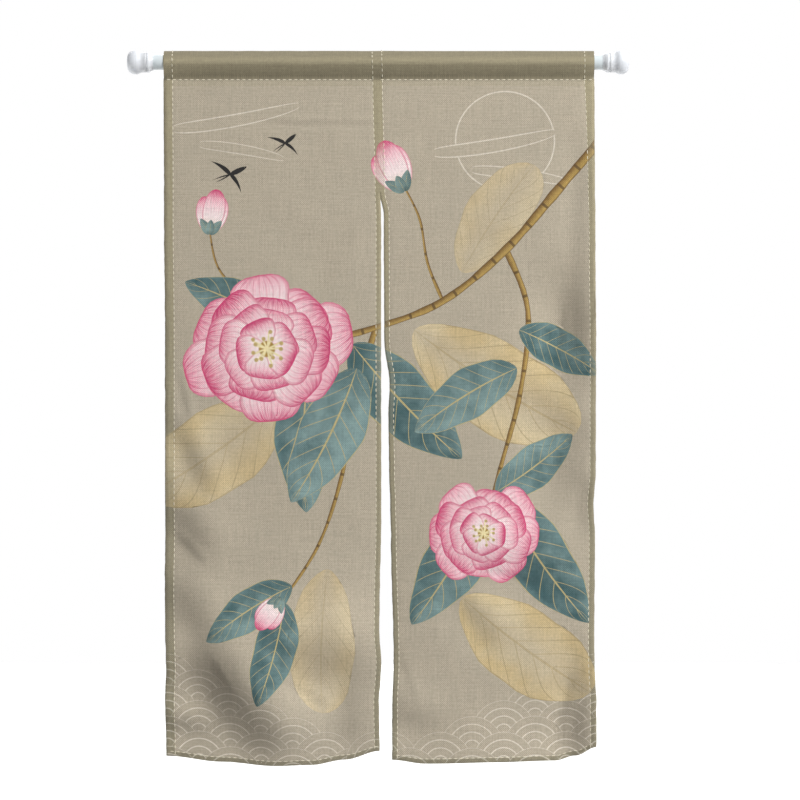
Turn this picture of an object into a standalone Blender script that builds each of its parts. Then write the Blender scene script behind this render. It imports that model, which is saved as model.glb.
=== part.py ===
"""A doorway curtain of two sewn panels, hanging from a spring rod.

Metres, +Z up. X runs along the rod from the face of its left foot, and the viewer stands on the -Y side.
A drop is a distance below the rod's axis. The cloth's tables follow the uneven edges and the soft folds
in which this light, pressed cloth hangs.
"""

import math
from collections import namedtuple

import bmesh
import bpy

# Rod
ROD_LENGTH = 1.049  # from foot face to foot face
TUBE_RADIUS = 0.016
TUBE_WALL = 0.001
TURNED_STEPS = 40
FIT = 0.0003  # the gap that neighbouring pieces keep

# Foot: a soft cup whose flat face presses on the door jamb
FOOT_LENGTH = 0.041
FOOT_FACE_RADIUS = 0.0100
FOOT_RADIUS = 0.0255
FOOT_EDGE_DEPTH = 0.0165  # how deep the round edge of its face goes
FOOT_RIM_END = 0.0185  # where its thick rim ends
FOOT_WAIST = 0.0255  # where it has narrowed to its sleeve
FOOT_SLEEVE_RADIUS = 0.0214
SOCKET_DEPTH = 0.014

# Collar: a stiff ring with a flange against the foot, tapering on to the tube
COLLAR_FLANGE = 0.0055
COLLAR_FLANGE_RADIUS = 0.0216
COLLAR_LENGTH = 0.0135
COLLAR_ROOT_RADIUS = 0.0203
COLLAR_TIP_RADIUS = 0.0172

# Cloth
SINGLE = 0.0014  # one layer, as thick as it hangs
DOUBLE = 0.0024  # a pressed hem or flap
FACE = -0.0012  # the printed face, in front of the hanging plane
HEM_STEP = 0.0008  # width of the step at a hem's inner edge
INNER_HEM = 0.0115
BOTTOM_HEM = 0.0105
BILLOW = 0.008  # how far the middle of a panel's foot bellies forward
FIELD_STRIPS = 20
FIELD_ROWS = 40
ROW_CROWDING = 0.8  # below 1, rows crowd towards the folds at the foot

# Pocket: the pressed crease stands above the rod, and the seam gathers the cloth below it
POCKET_CLEAR_RADIUS = TUBE_RADIUS + 0.00035
POCKET_CREASE = 0.0218
POCKET_TIP = 0.033
SEAM_DROP = 0.035
FLAP_DROP = 0.050  # the turned-in end of the pocket's back layer
POCKET_ARC_STEPS = 5

# The panels are joined from the top down to here, and the slit runs on below
JOIN_DROP = 0.2715

Edge = namedtuple("Edge", "drop left right")
Foot = namedtuple("Foot", "across drop")
Fold = namedtuple("Fold", "x0 drop0 x1 drop1 half_width rise fade")
Panel = namedtuple("Panel", "name edges foot left_hem right_hem folds")

LEFT_EDGES = (
    Edge(-0.024, 0.0764, 0.5217),
    Edge(0.035, 0.0764, 0.5231),
    Edge(0.271, 0.0774, 0.5280),
    Edge(0.330, 0.0774, 0.5301),
    Edge(0.560, 0.0795, 0.5300),
    Edge(0.960, 0.0795, 0.5302),
    Edge(1.110, 0.0793, 0.5272),
    Edge(1.190, 0.0805, 0.5262),
    Edge(1.255, 0.0828, 0.5304),
    Edge(1.340, 0.0796, 0.5254),
    Edge(1.475, 0.0796, 0.5275),
)
RIGHT_EDGES = (
    Edge(-0.024, 0.5220, 0.9764),
    Edge(0.035, 0.5234, 0.9764),
    Edge(0.271, 0.5283, 0.9772),
    Edge(0.318, 0.5371, 0.9781),
    Edge(0.580, 0.5381, 0.9785),
    Edge(0.676, 0.5496, 0.9792),
    Edge(0.735, 0.5468, 0.9787),
    Edge(0.860, 0.5485, 0.9784),
    Edge(0.923, 0.5507, 0.9738),
    Edge(0.990, 0.5522, 0.9774),
    Edge(1.255, 0.5580, 0.9755),
    Edge(1.345, 0.5548, 0.9790),
    Edge(1.475, 0.5545, 0.9802),
)
LEFT_FOOT = (
    Foot(0.00, 1.4540),
    Foot(0.26, 1.4660),
    Foot(0.50, 1.4730),
    Foot(0.68, 1.4710),
    Foot(0.84, 1.4600),
    Foot(1.00, 1.4415),
)
RIGHT_FOOT = (
    Foot(0.00, 1.4590),
    Foot(0.16, 1.4665),
    Foot(0.50, 1.4635),
    Foot(0.80, 1.4610),
    Foot(0.90, 1.4500),
    Foot(1.00, 1.4310),
)
# A fold is the slope between a ridge and a trough. Seen looking down it, the ridge is on its right
PRESSED_CREASE = Fold(0.290, 0.125, 0.520, 0.127, 0.006, 0.0008, 0.05)
LEFT_FOLDS = (
    PRESSED_CREASE,
    Fold(0.475, 0.370, 0.400, 0.460, 0.026, 0.0020, 0.05),
    Fold(0.106, 0.760, 0.177, 0.915, 0.026, 0.0045, 0.05),
    Fold(0.095, 0.905, 0.160, 1.045, 0.045, 0.0090, 0.06),
    Fold(0.090, 1.080, 0.165, 1.200, 0.045, 0.0090, 0.05),
    Fold(0.155, 1.230, 0.315, 1.440, 0.058, 0.0210, 0.06),
    Fold(0.110, 1.300, 0.230, 1.500, 0.100, 0.0140, 0.08),
    Fold(0.295, 1.250, 0.500, 1.244, 0.060, 0.0155, 0.07),
    Fold(0.020, 1.390, 0.560, 1.380, 0.140, 0.0200, 0.10),
    Fold(0.456, 1.290, 0.470, 1.430, 0.032, 0.0030, 0.05),
    Fold(0.060, 1.385, 0.160, 1.390, 0.024, 0.0060, 0.04),
)
RIGHT_FOLDS = (
    PRESSED_CREASE,
    Fold(0.960, 0.160, 0.950, 0.440, 0.026, 0.0030, 0.08),
    Fold(0.950, 0.460, 0.928, 0.640, 0.046, 0.0170, 0.07),
    Fold(0.928, 0.700, 0.930, 0.930, 0.055, 0.0085, 0.07),
    Fold(0.968, 0.880, 0.952, 0.970, 0.018, 0.0025, 0.03),
    Fold(0.715, 1.035, 0.900, 1.066, 0.042, 0.0050, 0.06),
    Fold(0.700, 1.120, 0.768, 1.220, 0.030, 0.0040, 0.04),
    Fold(0.955, 1.220, 0.940, 1.445, 0.036, 0.0110, 0.05),
    Fold(0.850, 1.290, 0.960, 1.440, 0.075, 0.0100, 0.08),
    Fold(0.545, 1.365, 0.640, 1.375, 0.034, 0.0055, 0.05),
)
OUTER_LEFT_HEM = 0.0195
OUTER_RIGHT_HEM = 0.013
WIDE_HEM = 0.011  # extra width of the outer right hem at the heading
WIDE_HEM_FADE = 0.16

PANELS = (
    Panel("left_panel", LEFT_EDGES, LEFT_FOOT, OUTER_LEFT_HEM, INNER_HEM, LEFT_FOLDS),
    Panel("right_panel", RIGHT_EDGES, RIGHT_FOOT, INNER_HEM, OUTER_RIGHT_HEM, RIGHT_FOLDS),
)

CLOTH = ("curtain_cloth", (0.46, 0.41, 0.31), 0.9, 0.0)
RUBBER = ("foot_rubber", (0.75, 0.77, 0.80), 0.6, 0.0)
PLASTIC = ("collar_plastic", (0.80, 0.83, 0.86), 0.35, 0.0)
ENAMEL = ("tube_enamel", (0.78, 0.82, 0.84), 0.3, 0.0)


def smooth(share):
    """Eases from 0 to 1 as share does."""
    share = max(0.0, min(1.0, share))
    return share * share * (3 - 2 * share)


def eased(rows, key, value, at):
    """The named column of a table at this place, easing from row to row."""
    before = rows[0]
    for row in rows:
        if getattr(row, key) >= at:
            break
        before = row
    low, high = getattr(before, key), getattr(row, key)
    share = smooth((at - low) / (high - low)) if high > low else 0.0
    return getattr(before, value) * (1 - share) + getattr(row, value) * share


def fold_depth(fold, x, drop):
    """How far back one fold sets the cloth at this place."""
    run_x, run_drop = fold.x1 - fold.x0, fold.drop1 - fold.drop0
    length = math.hypot(run_x, run_drop)
    along = ((x - fold.x0) * run_x + (drop - fold.drop0) * run_drop) / length
    aside = ((x - fold.x0) * run_drop - (drop - fold.drop0) * run_x) / length
    side = aside / fold.half_width
    begun = smooth((along + fold.fade) / (2 * fold.fade))
    not_ended = smooth((length + fold.fade - along) / (2 * fold.fade))
    return -fold.rise * side * math.exp((1 - side * side) / 2) * begun * not_ended


def depth(panel, across, x, drop):
    """How far back the cloth hangs, from all folds and the billow. The heading hangs straight."""
    below_heading = smooth((drop - SEAM_DROP) / 0.09)
    folds = sum(fold_depth(fold, x, drop) for fold in panel.folds)
    billow = BILLOW * math.sin(math.pi * across) * smooth((drop - JOIN_DROP) / 1.2)
    return folds * below_heading - billow


def right_hem(panel, drop):
    """The outer right hem is wider at the heading."""
    wide = WIDE_HEM * math.exp(-max(drop, 0.0) / WIDE_HEM_FADE)
    return panel.right_hem + (wide if panel.right_hem == OUTER_RIGHT_HEM else 0.0)


def column_places(panel, width, drop):
    """Distances from the panel's left edge of its columns, with a close pair at each hem's inner edge."""
    start, end = panel.left_hem, width - right_hem(panel, drop)
    field = [start + HEM_STEP / 2 + (end - start - HEM_STEP) * i / FIELD_STRIPS for i in range(FIELD_STRIPS + 1)]
    return [0.0, start - HEM_STEP / 2, *field, end + HEM_STEP / 2, width]


def in_side_hem(column, columns):
    return column <= 1 or column >= columns - 2


def row_drops(lowest):
    """Drops of a column's rows, from the pocket's seam to the bottom edge, and whether each is double."""
    top, low = FLAP_DROP + HEM_STEP / 2, lowest - BOTTOM_HEM - HEM_STEP / 2
    rows = [(SEAM_DROP, True), (FLAP_DROP - HEM_STEP / 2, True)]
    for i in range(FIELD_ROWS + 1):
        rows.append((top + (low - top) * (i / FIELD_ROWS) ** ROW_CROWDING, False))
    return [*rows, (lowest - BOTTOM_HEM + HEM_STEP / 2, True), (lowest, True)]


def pocket_contours():
    """The pocket's outer and inner outline in Y and Z, from the seam up the front, over the crease
    and down the back. Each is straight from the crease to the rod, round with the rod, and straight
    to the seam."""
    top = math.acos(POCKET_CLEAR_RADIUS / POCKET_CREASE)
    low = math.pi - math.acos(POCKET_CLEAR_RADIUS / POCKET_TIP)
    arc = [top + (low - top) * i / POCKET_ARC_STEPS for i in range(POCKET_ARC_STEPS + 1)]
    inner = [(0.0, POCKET_CREASE)]
    outer = [(0.0, POCKET_CREASE + SINGLE / math.cos(top))]
    for angle in arc:
        for outline, radius in ((inner, POCKET_CLEAR_RADIUS), (outer, POCKET_CLEAR_RADIUS + SINGLE)):
            outline.append((radius * math.sin(angle), radius * math.cos(angle)))
    back_outer, back_inner = outer[1:], inner[1:]
    front_outer = [(-y, z) for y, z in reversed(back_outer)]
    front_inner = [(-y, z) for y, z in reversed(back_inner)]
    tip = (0.0, -POCKET_TIP)
    return [*front_outer, outer[0], *back_outer], [tip, *front_inner, inner[0], *back_inner]


def column_rings(panel, column, columns):
    """One column's outer ring, from its bottom edge up the front, over the pocket and down the back,
    and the ring of the pocket's inside."""

    def place(drop):
        left, right = (eased(panel.edges, "drop", side, drop) for side in ("left", "right"))
        return left, right, left + column_places(panel, right - left, drop)[column]

    left, right, x = place(panel.foot[0].drop)
    lowest = eased(panel.foot, "across", "drop", (x - left) / (right - left))
    front, back = [], []
    for drop, doubled in row_drops(lowest):
        left, right, x = place(drop)
        face = FACE + depth(panel, (x - left) / (right - left), x, drop)
        front.append((x, face, -drop))
        thick = DOUBLE if doubled or in_side_hem(column, columns) else SINGLE
        back.append((x, face + thick, -drop))
    outer, inner = pocket_contours()
    pocket = [(place(-z)[2], y, z) for y, z in outer]
    inside = [(place(-z)[2], y, z) for y, z in inner]
    return front[::-1] + pocket + back, inside


def ring_faces(bm, rings):
    """Quads from each ring of points to the next."""
    for ring, following in zip(rings, rings[1:]):
        for i, point in enumerate(ring):
            j = (i + 1) % len(ring)
            bm.faces.new((point, ring[j], following[j], following[i]))


def close_side(bm, outer, inner):
    """The narrow face at a panel's side: the body's strip, the pocket's wall, and the seam between."""
    rows = (len(outer) - len(inner) + 1) // 2
    front, back = outer[:rows], outer[len(outer) - rows :][::-1]
    wall = outer[rows - 1 : len(outer) - rows + 1]
    for i in range(rows - 1):
        bm.faces.new((front[i], front[i + 1], back[i + 1], back[i]))
    hole = [*inner, inner[0]]
    for i in range(len(wall) - 1):
        bm.faces.new((wall[i], wall[i + 1], hole[i + 1], hole[i]))
    bm.faces.new((wall[0], wall[-1], hole[0]))


def finish_object(bm, name, finish):
    """Makes the mesh an object with its own material, shaded smooth but for its real edges."""
    bmesh.ops.remove_doubles(bm, verts=bm.verts, dist=1e-6)
    bmesh.ops.recalc_face_normals(bm, faces=bm.faces)
    mesh = bpy.data.meshes.new(name)
    bm.to_mesh(mesh)
    bm.free()
    mesh.shade_smooth()
    mesh.set_sharp_from_angle(angle=math.radians(35))
    mesh.materials.append(material(name, *finish[1:]))
    made = bpy.data.objects.new(name, mesh)
    bpy.context.scene.collection.objects.link(made)
    return made


def material(name, colour, roughness, metallic):
    made = bpy.data.materials.new(name)
    made.use_nodes = True
    shader = made.node_tree.nodes["Principled BSDF"]
    shader.inputs["Base Color"].default_value = (*colour, 1.0)
    shader.inputs["Roughness"].default_value = roughness
    shader.inputs["Metallic"].default_value = metallic
    return made


def cloth_panel(panel):
    """One panel with its hems and rod pocket, lofted across its columns."""
    bm = bmesh.new()
    columns = len(column_places(panel, 1.0, 0.0))
    outers, inners = [], []
    for column in range(columns):
        outer, inner = column_rings(panel, column, columns)
        outers.append([bm.verts.new(point) for point in outer])
        inners.append([bm.verts.new(point) for point in inner])
    ring_faces(bm, outers)
    ring_faces(bm, inners)
    for side in (0, -1):
        close_side(bm, outers[side], inners[side])
    return finish_object(bm, panel.name, CLOTH)


def turned(name, profile, finish, mirrored=False):
    """A solid turned about the rod's axis from a closed profile of (distance along, radius)."""
    bm = bmesh.new()
    points = [bm.verts.new((ROD_LENGTH - x if mirrored else x, 0.0, radius)) for x, radius in profile]
    edges = [bm.edges.new((point, points[(i + 1) % len(points)])) for i, point in enumerate(points)]
    bmesh.ops.spin(
        bm, geom=points + edges, cent=(0, 0, 0), axis=(1, 0, 0), angle=math.tau, steps=TURNED_STEPS, use_merge=True
    )
    bmesh.ops.remove_doubles(bm, verts=bm.verts, dist=1e-6)
    bmesh.ops.dissolve_degenerate(bm, edges=bm.edges, dist=1e-6)
    return finish_object(bm, name, finish)


def foot_profile():
    """The face, a round edge to the thick rim, the waist, the sleeve and the socket for the tube."""
    corner = FOOT_RADIUS - FOOT_FACE_RADIUS
    steps = 7
    rim = []
    for i in range(steps + 1):
        angle = math.pi / 2 * i / steps
        rim.append((FOOT_EDGE_DEPTH * (1 - math.cos(angle)), FOOT_FACE_RADIUS + corner * math.sin(angle)))
    waist = []
    for i in range(steps + 1):
        x = FOOT_RIM_END + (FOOT_WAIST - FOOT_RIM_END) * i / steps
        waist.append((x, FOOT_RADIUS + (FOOT_SLEEVE_RADIUS - FOOT_RADIUS) * smooth(i / steps)))
    mouth = TUBE_RADIUS + FIT
    end, bottom = FOOT_LENGTH, FOOT_LENGTH - SOCKET_DEPTH
    return [(0.0, 0.0), *rim, *waist, (end, FOOT_SLEEVE_RADIUS), (end, mouth), (bottom, mouth), (bottom, 0.0)]


def collar_profile():
    """The flange against the foot, the taper, and the bore on the tube."""
    start, steps = FOOT_LENGTH + FIT, 4
    root, end = start + COLLAR_FLANGE, start + COLLAR_LENGTH
    taper = []
    for i in range(steps + 1):
        radius = COLLAR_ROOT_RADIUS + (COLLAR_TIP_RADIUS - COLLAR_ROOT_RADIUS) * smooth(i / steps)
        taper.append((root + (end - root) * i / steps, radius))
    bore = TUBE_RADIUS + FIT
    return [(start, bore), (start, COLLAR_FLANGE_RADIUS), (root, COLLAR_FLANGE_RADIUS), *taper, (end, bore)]


def spring_rod():
    """The tube, and a foot and a collar on each of its ends."""
    start = FOOT_LENGTH - SOCKET_DEPTH + FIT
    end, inside = ROD_LENGTH - start, TUBE_RADIUS - TUBE_WALL
    turned("rod_tube", [(start, inside), (start, TUBE_RADIUS), (end, TUBE_RADIUS), (end, inside)], ENAMEL)
    for side, mirrored in (("left", False), ("right", True)):
        turned(side + "_foot", foot_profile(), RUBBER, mirrored)
        turned(side + "_collar", collar_profile(), PLASTIC, mirrored)


def clear_scene():
    for old in list(bpy.data.objects):
        bpy.data.objects.remove(old)


def main():
    clear_scene()
    spring_rod()
    for panel in PANELS:
        cloth_panel(panel)


main()
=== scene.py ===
"""Dresses the doorway curtain: printed linen-look cloth, its running stitches, the enamelled rod, its soft
feet and stiff collars, and a plain pale studio.

Metres, +Z up. X runs along the rod from the face of its left foot, and the viewer stands on the -Y side.
A drop is a distance below the rod's axis. The cloth hangs in the folds of its solids, with finer creases.
The print is drawn as outlines in the cloth's flat plane, which cut its mesh, so that each petal, leaf and
branch has faces, a finish and a UV map of its own.
"""

import math
from collections import namedtuple
from functools import lru_cache

import bmesh
import bpy
from bpy.props import FloatProperty, FloatVectorProperty, PointerProperty
from mathutils import Matrix, Vector, noise
from mathutils.geometry import delaunay_2d_cdt


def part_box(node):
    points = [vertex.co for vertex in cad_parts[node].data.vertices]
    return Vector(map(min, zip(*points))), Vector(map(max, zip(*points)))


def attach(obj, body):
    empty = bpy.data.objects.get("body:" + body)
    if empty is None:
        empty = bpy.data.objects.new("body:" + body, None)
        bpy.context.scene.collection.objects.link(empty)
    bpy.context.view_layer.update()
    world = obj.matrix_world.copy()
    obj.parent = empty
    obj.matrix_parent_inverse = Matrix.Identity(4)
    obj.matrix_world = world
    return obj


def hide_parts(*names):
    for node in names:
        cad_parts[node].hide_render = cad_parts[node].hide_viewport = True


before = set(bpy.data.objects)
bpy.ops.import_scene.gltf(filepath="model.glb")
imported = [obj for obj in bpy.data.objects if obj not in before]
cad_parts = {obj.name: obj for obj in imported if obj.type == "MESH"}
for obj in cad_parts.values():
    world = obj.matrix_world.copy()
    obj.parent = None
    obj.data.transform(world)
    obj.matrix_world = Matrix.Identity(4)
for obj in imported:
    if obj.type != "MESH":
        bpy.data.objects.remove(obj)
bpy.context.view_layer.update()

bl_info = {
    "name": "Doorway Curtain",
    "version": (1, 0, 0),
    "blender": (4, 5, 0),
    "location": "3D View > Sidebar > Curtain",
    "description": "Dresses a doorway curtain on a spring rod",
    "category": "Object",
}

# Rod, read from the solids
ROD_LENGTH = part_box("right_foot")[1][0]
FOOT_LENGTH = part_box("left_foot")[1][0]
COLLAR_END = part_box("left_collar")[1][0]
TUBE_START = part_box("rod_tube")[0][0]
TUBE_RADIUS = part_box("rod_tube")[1][2]
FIT = 0.0003
TUBE_WALL = 0.001

# Cloth, as in the solids
SINGLE = 0.0014
DOUBLE = 0.0024
FACE = -0.0012
HEM_STEP = 0.0008
INNER_HEM = 0.0115
BOTTOM_HEM = 0.0105
BILLOW = 0.008
BILLOW_RUN = 1.2  # length below the joined edges over which it grows
HEADING_FADE = 0.09  # length below the pocket's seam over which the folds start
POCKET_CLEAR_RADIUS = TUBE_RADIUS + 0.00035
POCKET_CREASE = 0.0218
POCKET_TIP = 0.033
SEAM_DROP = 0.035
FLAP_DROP = 0.050
JOIN_DROP = 0.2715
PARTING = 0.008  # length over which the joined edges part
SEAM_GAP = 0.0003  # between the solids of the two panels, where they are sewn together
OUTER_LEFT_HEM = 0.0195
OUTER_RIGHT_HEM = 0.013
WIDE_HEM = 0.011
WIDE_HEM_FADE = 0.16

# The fine mesh of a panel
FIELD_STRIPS = 84
HEM_STRIPS = 3  # between the columns of hem_insets
FIELD_ROWS = 270
POCKET_STEPS = 12
CREASE_ROUND = 0.0009  # how far the pocket's pressed crease is rounded off
# Painted shade on the flap below the pocket's seam, for the shadow under the seam and less light through
# two layers
FLAP_SHADE = 0.3  # how much darker the flap is, as a share of a hem's tint
ROUNDING = 0.4  # how far an edge bulges, as a share of its thickness
WAVE_HEIGHT = 0.0011  # the soft unevenness of pressed cloth
WAVE_SCALE = 13.0
GROOVE = 0.0005  # how deep the stitches draw the cloth in
GROOVE_WIDTH = 0.004
SHARP_ANGLE = math.radians(62)
RIPPLE = 0.0008  # how far the hems' edges waver
RIPPLE_SCALES = (38, 120)
CREASE_WAVER = 0.0007  # how far the pocket's pressed crease wavers
CREASE_WAVER_SCALE = 16
FOLD_REACH = 5  # half-widths from a fold's line past which it moves nothing
STITCH_INSET = 0.0015  # from a hem's inner edge to its stitches
# Where a hem's painted shade starts, for less light through doubled cloth
HEM_SHADE_INSET = 0.0021  # from a hem's inner edge to where its darker tint starts
POCKET_STITCHES = SEAM_DROP + 0.0016  # drop of the stitches below the pocket

Edge = namedtuple("Edge", "drop left right")
Foot = namedtuple("Foot", "across drop")
Fold = namedtuple("Fold", "x0 drop0 x1 drop1 half_width rise fade")
Panel = namedtuple("Panel", "name edges foot left_hem right_hem folds creases")

LEFT_EDGES = (
    Edge(-0.024, 0.0764, 0.5217),
    Edge(0.035, 0.0764, 0.5231),
    Edge(0.271, 0.0774, 0.5280),
    Edge(0.330, 0.0774, 0.5301),
    Edge(0.560, 0.0795, 0.5300),
    Edge(0.960, 0.0795, 0.5302),
    Edge(1.110, 0.0793, 0.5272),
    Edge(1.190, 0.0805, 0.5262),
    Edge(1.255, 0.0828, 0.5304),
    Edge(1.340, 0.0796, 0.5254),
    Edge(1.475, 0.0796, 0.5275),
)
RIGHT_EDGES = (
    Edge(-0.024, 0.5220, 0.9764),
    Edge(0.035, 0.5234, 0.9764),
    Edge(0.271, 0.5283, 0.9772),
    Edge(0.318, 0.5371, 0.9781),
    Edge(0.580, 0.5381, 0.9785),
    Edge(0.676, 0.5496, 0.9792),
    Edge(0.735, 0.5468, 0.9787),
    Edge(0.860, 0.5485, 0.9784),
    Edge(0.923, 0.5507, 0.9738),
    Edge(0.990, 0.5522, 0.9774),
    Edge(1.255, 0.5580, 0.9755),
    Edge(1.345, 0.5548, 0.9790),
    Edge(1.475, 0.5545, 0.9802),
)
LEFT_FOOT = (
    Foot(0.00, 1.4540),
    Foot(0.26, 1.4660),
    Foot(0.50, 1.4730),
    Foot(0.68, 1.4710),
    Foot(0.84, 1.4600),
    Foot(1.00, 1.4415),
)
RIGHT_FOOT = (
    Foot(0.00, 1.4590),
    Foot(0.16, 1.4665),
    Foot(0.50, 1.4635),
    Foot(0.80, 1.4610),
    Foot(0.90, 1.4500),
    Foot(1.00, 1.4310),
)
PRESSED_CREASE = Fold(0.290, 0.125, 0.520, 0.127, 0.006, 0.0008, 0.05)
LEFT_FOLDS = (
    PRESSED_CREASE,
    Fold(0.475, 0.370, 0.400, 0.460, 0.026, 0.0020, 0.05),
    Fold(0.106, 0.760, 0.177, 0.915, 0.026, 0.0045, 0.05),
    Fold(0.095, 0.905, 0.160, 1.045, 0.045, 0.0090, 0.06),
    Fold(0.090, 1.080, 0.165, 1.200, 0.045, 0.0090, 0.05),
    Fold(0.155, 1.230, 0.315, 1.440, 0.058, 0.0210, 0.06),
    Fold(0.110, 1.300, 0.230, 1.500, 0.100, 0.0140, 0.08),
    Fold(0.295, 1.250, 0.500, 1.244, 0.060, 0.0155, 0.07),
    Fold(0.020, 1.390, 0.560, 1.380, 0.140, 0.0200, 0.10),
    Fold(0.456, 1.290, 0.470, 1.430, 0.032, 0.0030, 0.05),
    Fold(0.060, 1.385, 0.160, 1.390, 0.024, 0.0060, 0.04),
)
RIGHT_FOLDS = (
    PRESSED_CREASE,
    Fold(0.960, 0.160, 0.950, 0.440, 0.026, 0.0030, 0.08),
    Fold(0.950, 0.460, 0.928, 0.640, 0.046, 0.0170, 0.07),
    Fold(0.928, 0.700, 0.930, 0.930, 0.055, 0.0085, 0.07),
    Fold(0.968, 0.880, 0.952, 0.970, 0.018, 0.0025, 0.03),
    Fold(0.715, 1.035, 0.900, 1.066, 0.042, 0.0050, 0.06),
    Fold(0.700, 1.120, 0.768, 1.220, 0.030, 0.0040, 0.04),
    Fold(0.955, 1.220, 0.940, 1.445, 0.036, 0.0110, 0.05),
    Fold(0.850, 1.290, 0.960, 1.440, 0.075, 0.0100, 0.08),
    Fold(0.545, 1.365, 0.640, 1.375, 0.034, 0.0055, 0.05),
)
# Creases too fine for the solids
LEFT_CREASES = (
    Fold(0.110, 0.655, 0.128, 0.740, 0.008, 0.0012, 0.03),
    Fold(0.180, 1.250, 0.260, 1.385, 0.009, 0.0012, 0.04),
    Fold(0.330, 1.290, 0.420, 1.345, 0.010, 0.0010, 0.04),
    Fold(0.100, 0.985, 0.165, 1.050, 0.009, 0.0010, 0.03),
)
RIGHT_CREASES = (
    Fold(0.916, 0.520, 0.905, 0.610, 0.008, 0.0012, 0.03),
    Fold(0.930, 1.300, 0.905, 1.400, 0.009, 0.0012, 0.03),
    Fold(0.760, 1.060, 0.850, 1.085, 0.008, 0.0008, 0.03),
    Fold(0.575, 1.240, 0.600, 1.330, 0.009, 0.0008, 0.03),
)
PANELS = (
    Panel("left_panel", LEFT_EDGES, LEFT_FOOT, OUTER_LEFT_HEM, INNER_HEM, LEFT_FOLDS, LEFT_CREASES),
    Panel("right_panel", RIGHT_EDGES, RIGHT_FOOT, INNER_HEM, OUTER_RIGHT_HEM, RIGHT_FOLDS, RIGHT_CREASES),
)

# The print, in the cloth's flat plane. Angles are in degrees, anticlockwise from the right
Leaf = namedtuple("Leaf", "x drop angle length width bend tone")
Bloom = namedtuple("Bloom", "x drop radius turn flatten")
Bud = namedtuple("Bud", "x drop angle length")
Branch = namedtuple("Branch", "start_width end_width route")
Bird = namedtuple("Bird", "x drop angle span")
Waves = namedtuple("Waves", "x drop radius columns rows")
Moon = namedtuple("Moon", "x drop radius")
PetalRing = namedtuple("PetalRing", "count reach width set_back turn tone")

GHOST_LEAVES = (
    Leaf(0.600, 0.560, -38, 0.400, 0.190, 0.10, 0.9),
    Leaf(0.330, 0.700, 222, 0.360, 0.180, -0.12, 0.8),
    Leaf(0.700, 1.120, -42, 0.330, 0.170, 0.10, 0.9),
    Leaf(0.700, 0.440, 62, 0.270, 0.130, -0.10, 0.6),
    Leaf(0.420, 1.060, 262, 0.300, 0.140, 0.10, 0.6),
)
LEAVES = (
    Leaf(0.335, 0.560, 148, 0.235, 0.100, 0.12, 0.35),
    Leaf(0.380, 0.640, 262, 0.300, 0.125, 0.12, 0.55),
    Leaf(0.470, 0.590, -52, 0.330, 0.140, 0.10, 0.25),
    Leaf(0.480, 0.640, 252, 0.310, 0.135, -0.14, 0.75),
    Leaf(0.820, 0.560, -22, 0.190, 0.085, -0.12, 0.35),
    Leaf(0.815, 0.640, 204, 0.250, 0.105, 0.14, 0.70),
    Leaf(0.760, 0.900, 246, 0.320, 0.130, -0.12, 0.45),
    Leaf(0.775, 0.900, -62, 0.330, 0.135, 0.12, 0.20),
    Leaf(0.770, 0.900, 30, 0.200, 0.090, 0.12, 0.60),
    Leaf(0.345, 1.095, 205, 0.210, 0.085, 0.14, 0.50),
    Leaf(0.330, 1.130, 262, 0.220, 0.090, -0.12, 0.30),
)
BRANCHES = (
    Branch(0.007, 0.004, ((0.660, 0.500), (0.628, 0.420), (0.612, 0.330), (0.580, 0.262))),
    Branch(0.006, 0.004, ((0.330, 0.590), (0.250, 0.500), (0.190, 0.430), (0.172, 0.352))),
    Branch(0.012, 0.005, ((0.520, 0.555), (0.478, 0.700), (0.450, 0.860), (0.400, 1.010), (0.322, 1.130))),
    Branch(0.013, 0.008, ((0.792, 0.392), (0.838, 0.520), (0.822, 0.690), (0.780, 0.850), (0.745, 0.985))),
    Branch(
        0.021,
        0.010,
        ((1.010, 0.140), (0.905, 0.262), (0.792, 0.392), (0.660, 0.500))
        + ((0.520, 0.555), (0.400, 0.585), (0.300, 0.600)),
    ),
)
BLOOMS = (
    Bloom(0.292, 0.600, 0.172, 12, 0.84),
    Bloom(0.745, 0.985, 0.122, 40, 0.80),
)
BUDS = (
    Bud(0.580, 0.270, 118, 0.115),
    Bud(0.172, 0.360, 84, 0.095),
    Bud(0.322, 1.120, 236, 0.080),
)
BIRDS = (
    Bird(0.215, 0.235, 24, 0.062),
    Bird(0.330, 0.170, 40, 0.050),
)
WAVES = (
    Waves(0.082, 1.500, 0.066, 3, 7),
    Waves(0.985, 1.500, 0.066, -3, 7),
)
MOON = Moon(0.790, 0.165, 0.105)
MISTS = (
    Leaf(0.640, 0.190, 4, 0.260, 0.030, 0.10, 0.8),
    Leaf(0.720, 0.225, -3, 0.210, 0.024, -0.08, 0.8),
    Leaf(0.095, 0.140, 5, 0.270, 0.028, 0.10, 0.8),
    Leaf(0.150, 0.172, -4, 0.180, 0.022, -0.10, 0.7),
)
PETAL_RINGS = (
    PetalRing(8, 1.00, 0.74, 0.00, 0.0, 0.15),
    PetalRing(8, 0.84, 0.66, 0.03, 22.5, 0.45),
    PetalRing(7, 0.64, 0.56, 0.04, 9.0, 0.30),
    PetalRing(5, 0.44, 0.46, 0.03, 30.0, 0.60),
)
STAMENS = 13
STAMEN_REACH = 0.17

# Kinds of face on the cloth, in the order of its material slots
GROUND, WAVE, GHOST, WOOD, LEAF, PETAL, INK, GOLD = range(8)


def smooth(share):
    """Eases from 0 to 1 as share does."""
    share = max(0.0, min(1.0, share))
    return share * share * (3 - 2 * share)


def eased(rows, key, value, at):
    """The named column of a table at this place, easing from row to row."""
    before = rows[0]
    for row in rows:
        if getattr(row, key) >= at:
            break
        before = row
    low, high = getattr(before, key), getattr(row, key)
    share = smooth((at - low) / (high - low)) if high > low else 0.0
    return getattr(before, value) * (1 - share) + getattr(row, value) * share


def is_left(panel):
    return panel.right_hem == INNER_HEM


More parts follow.
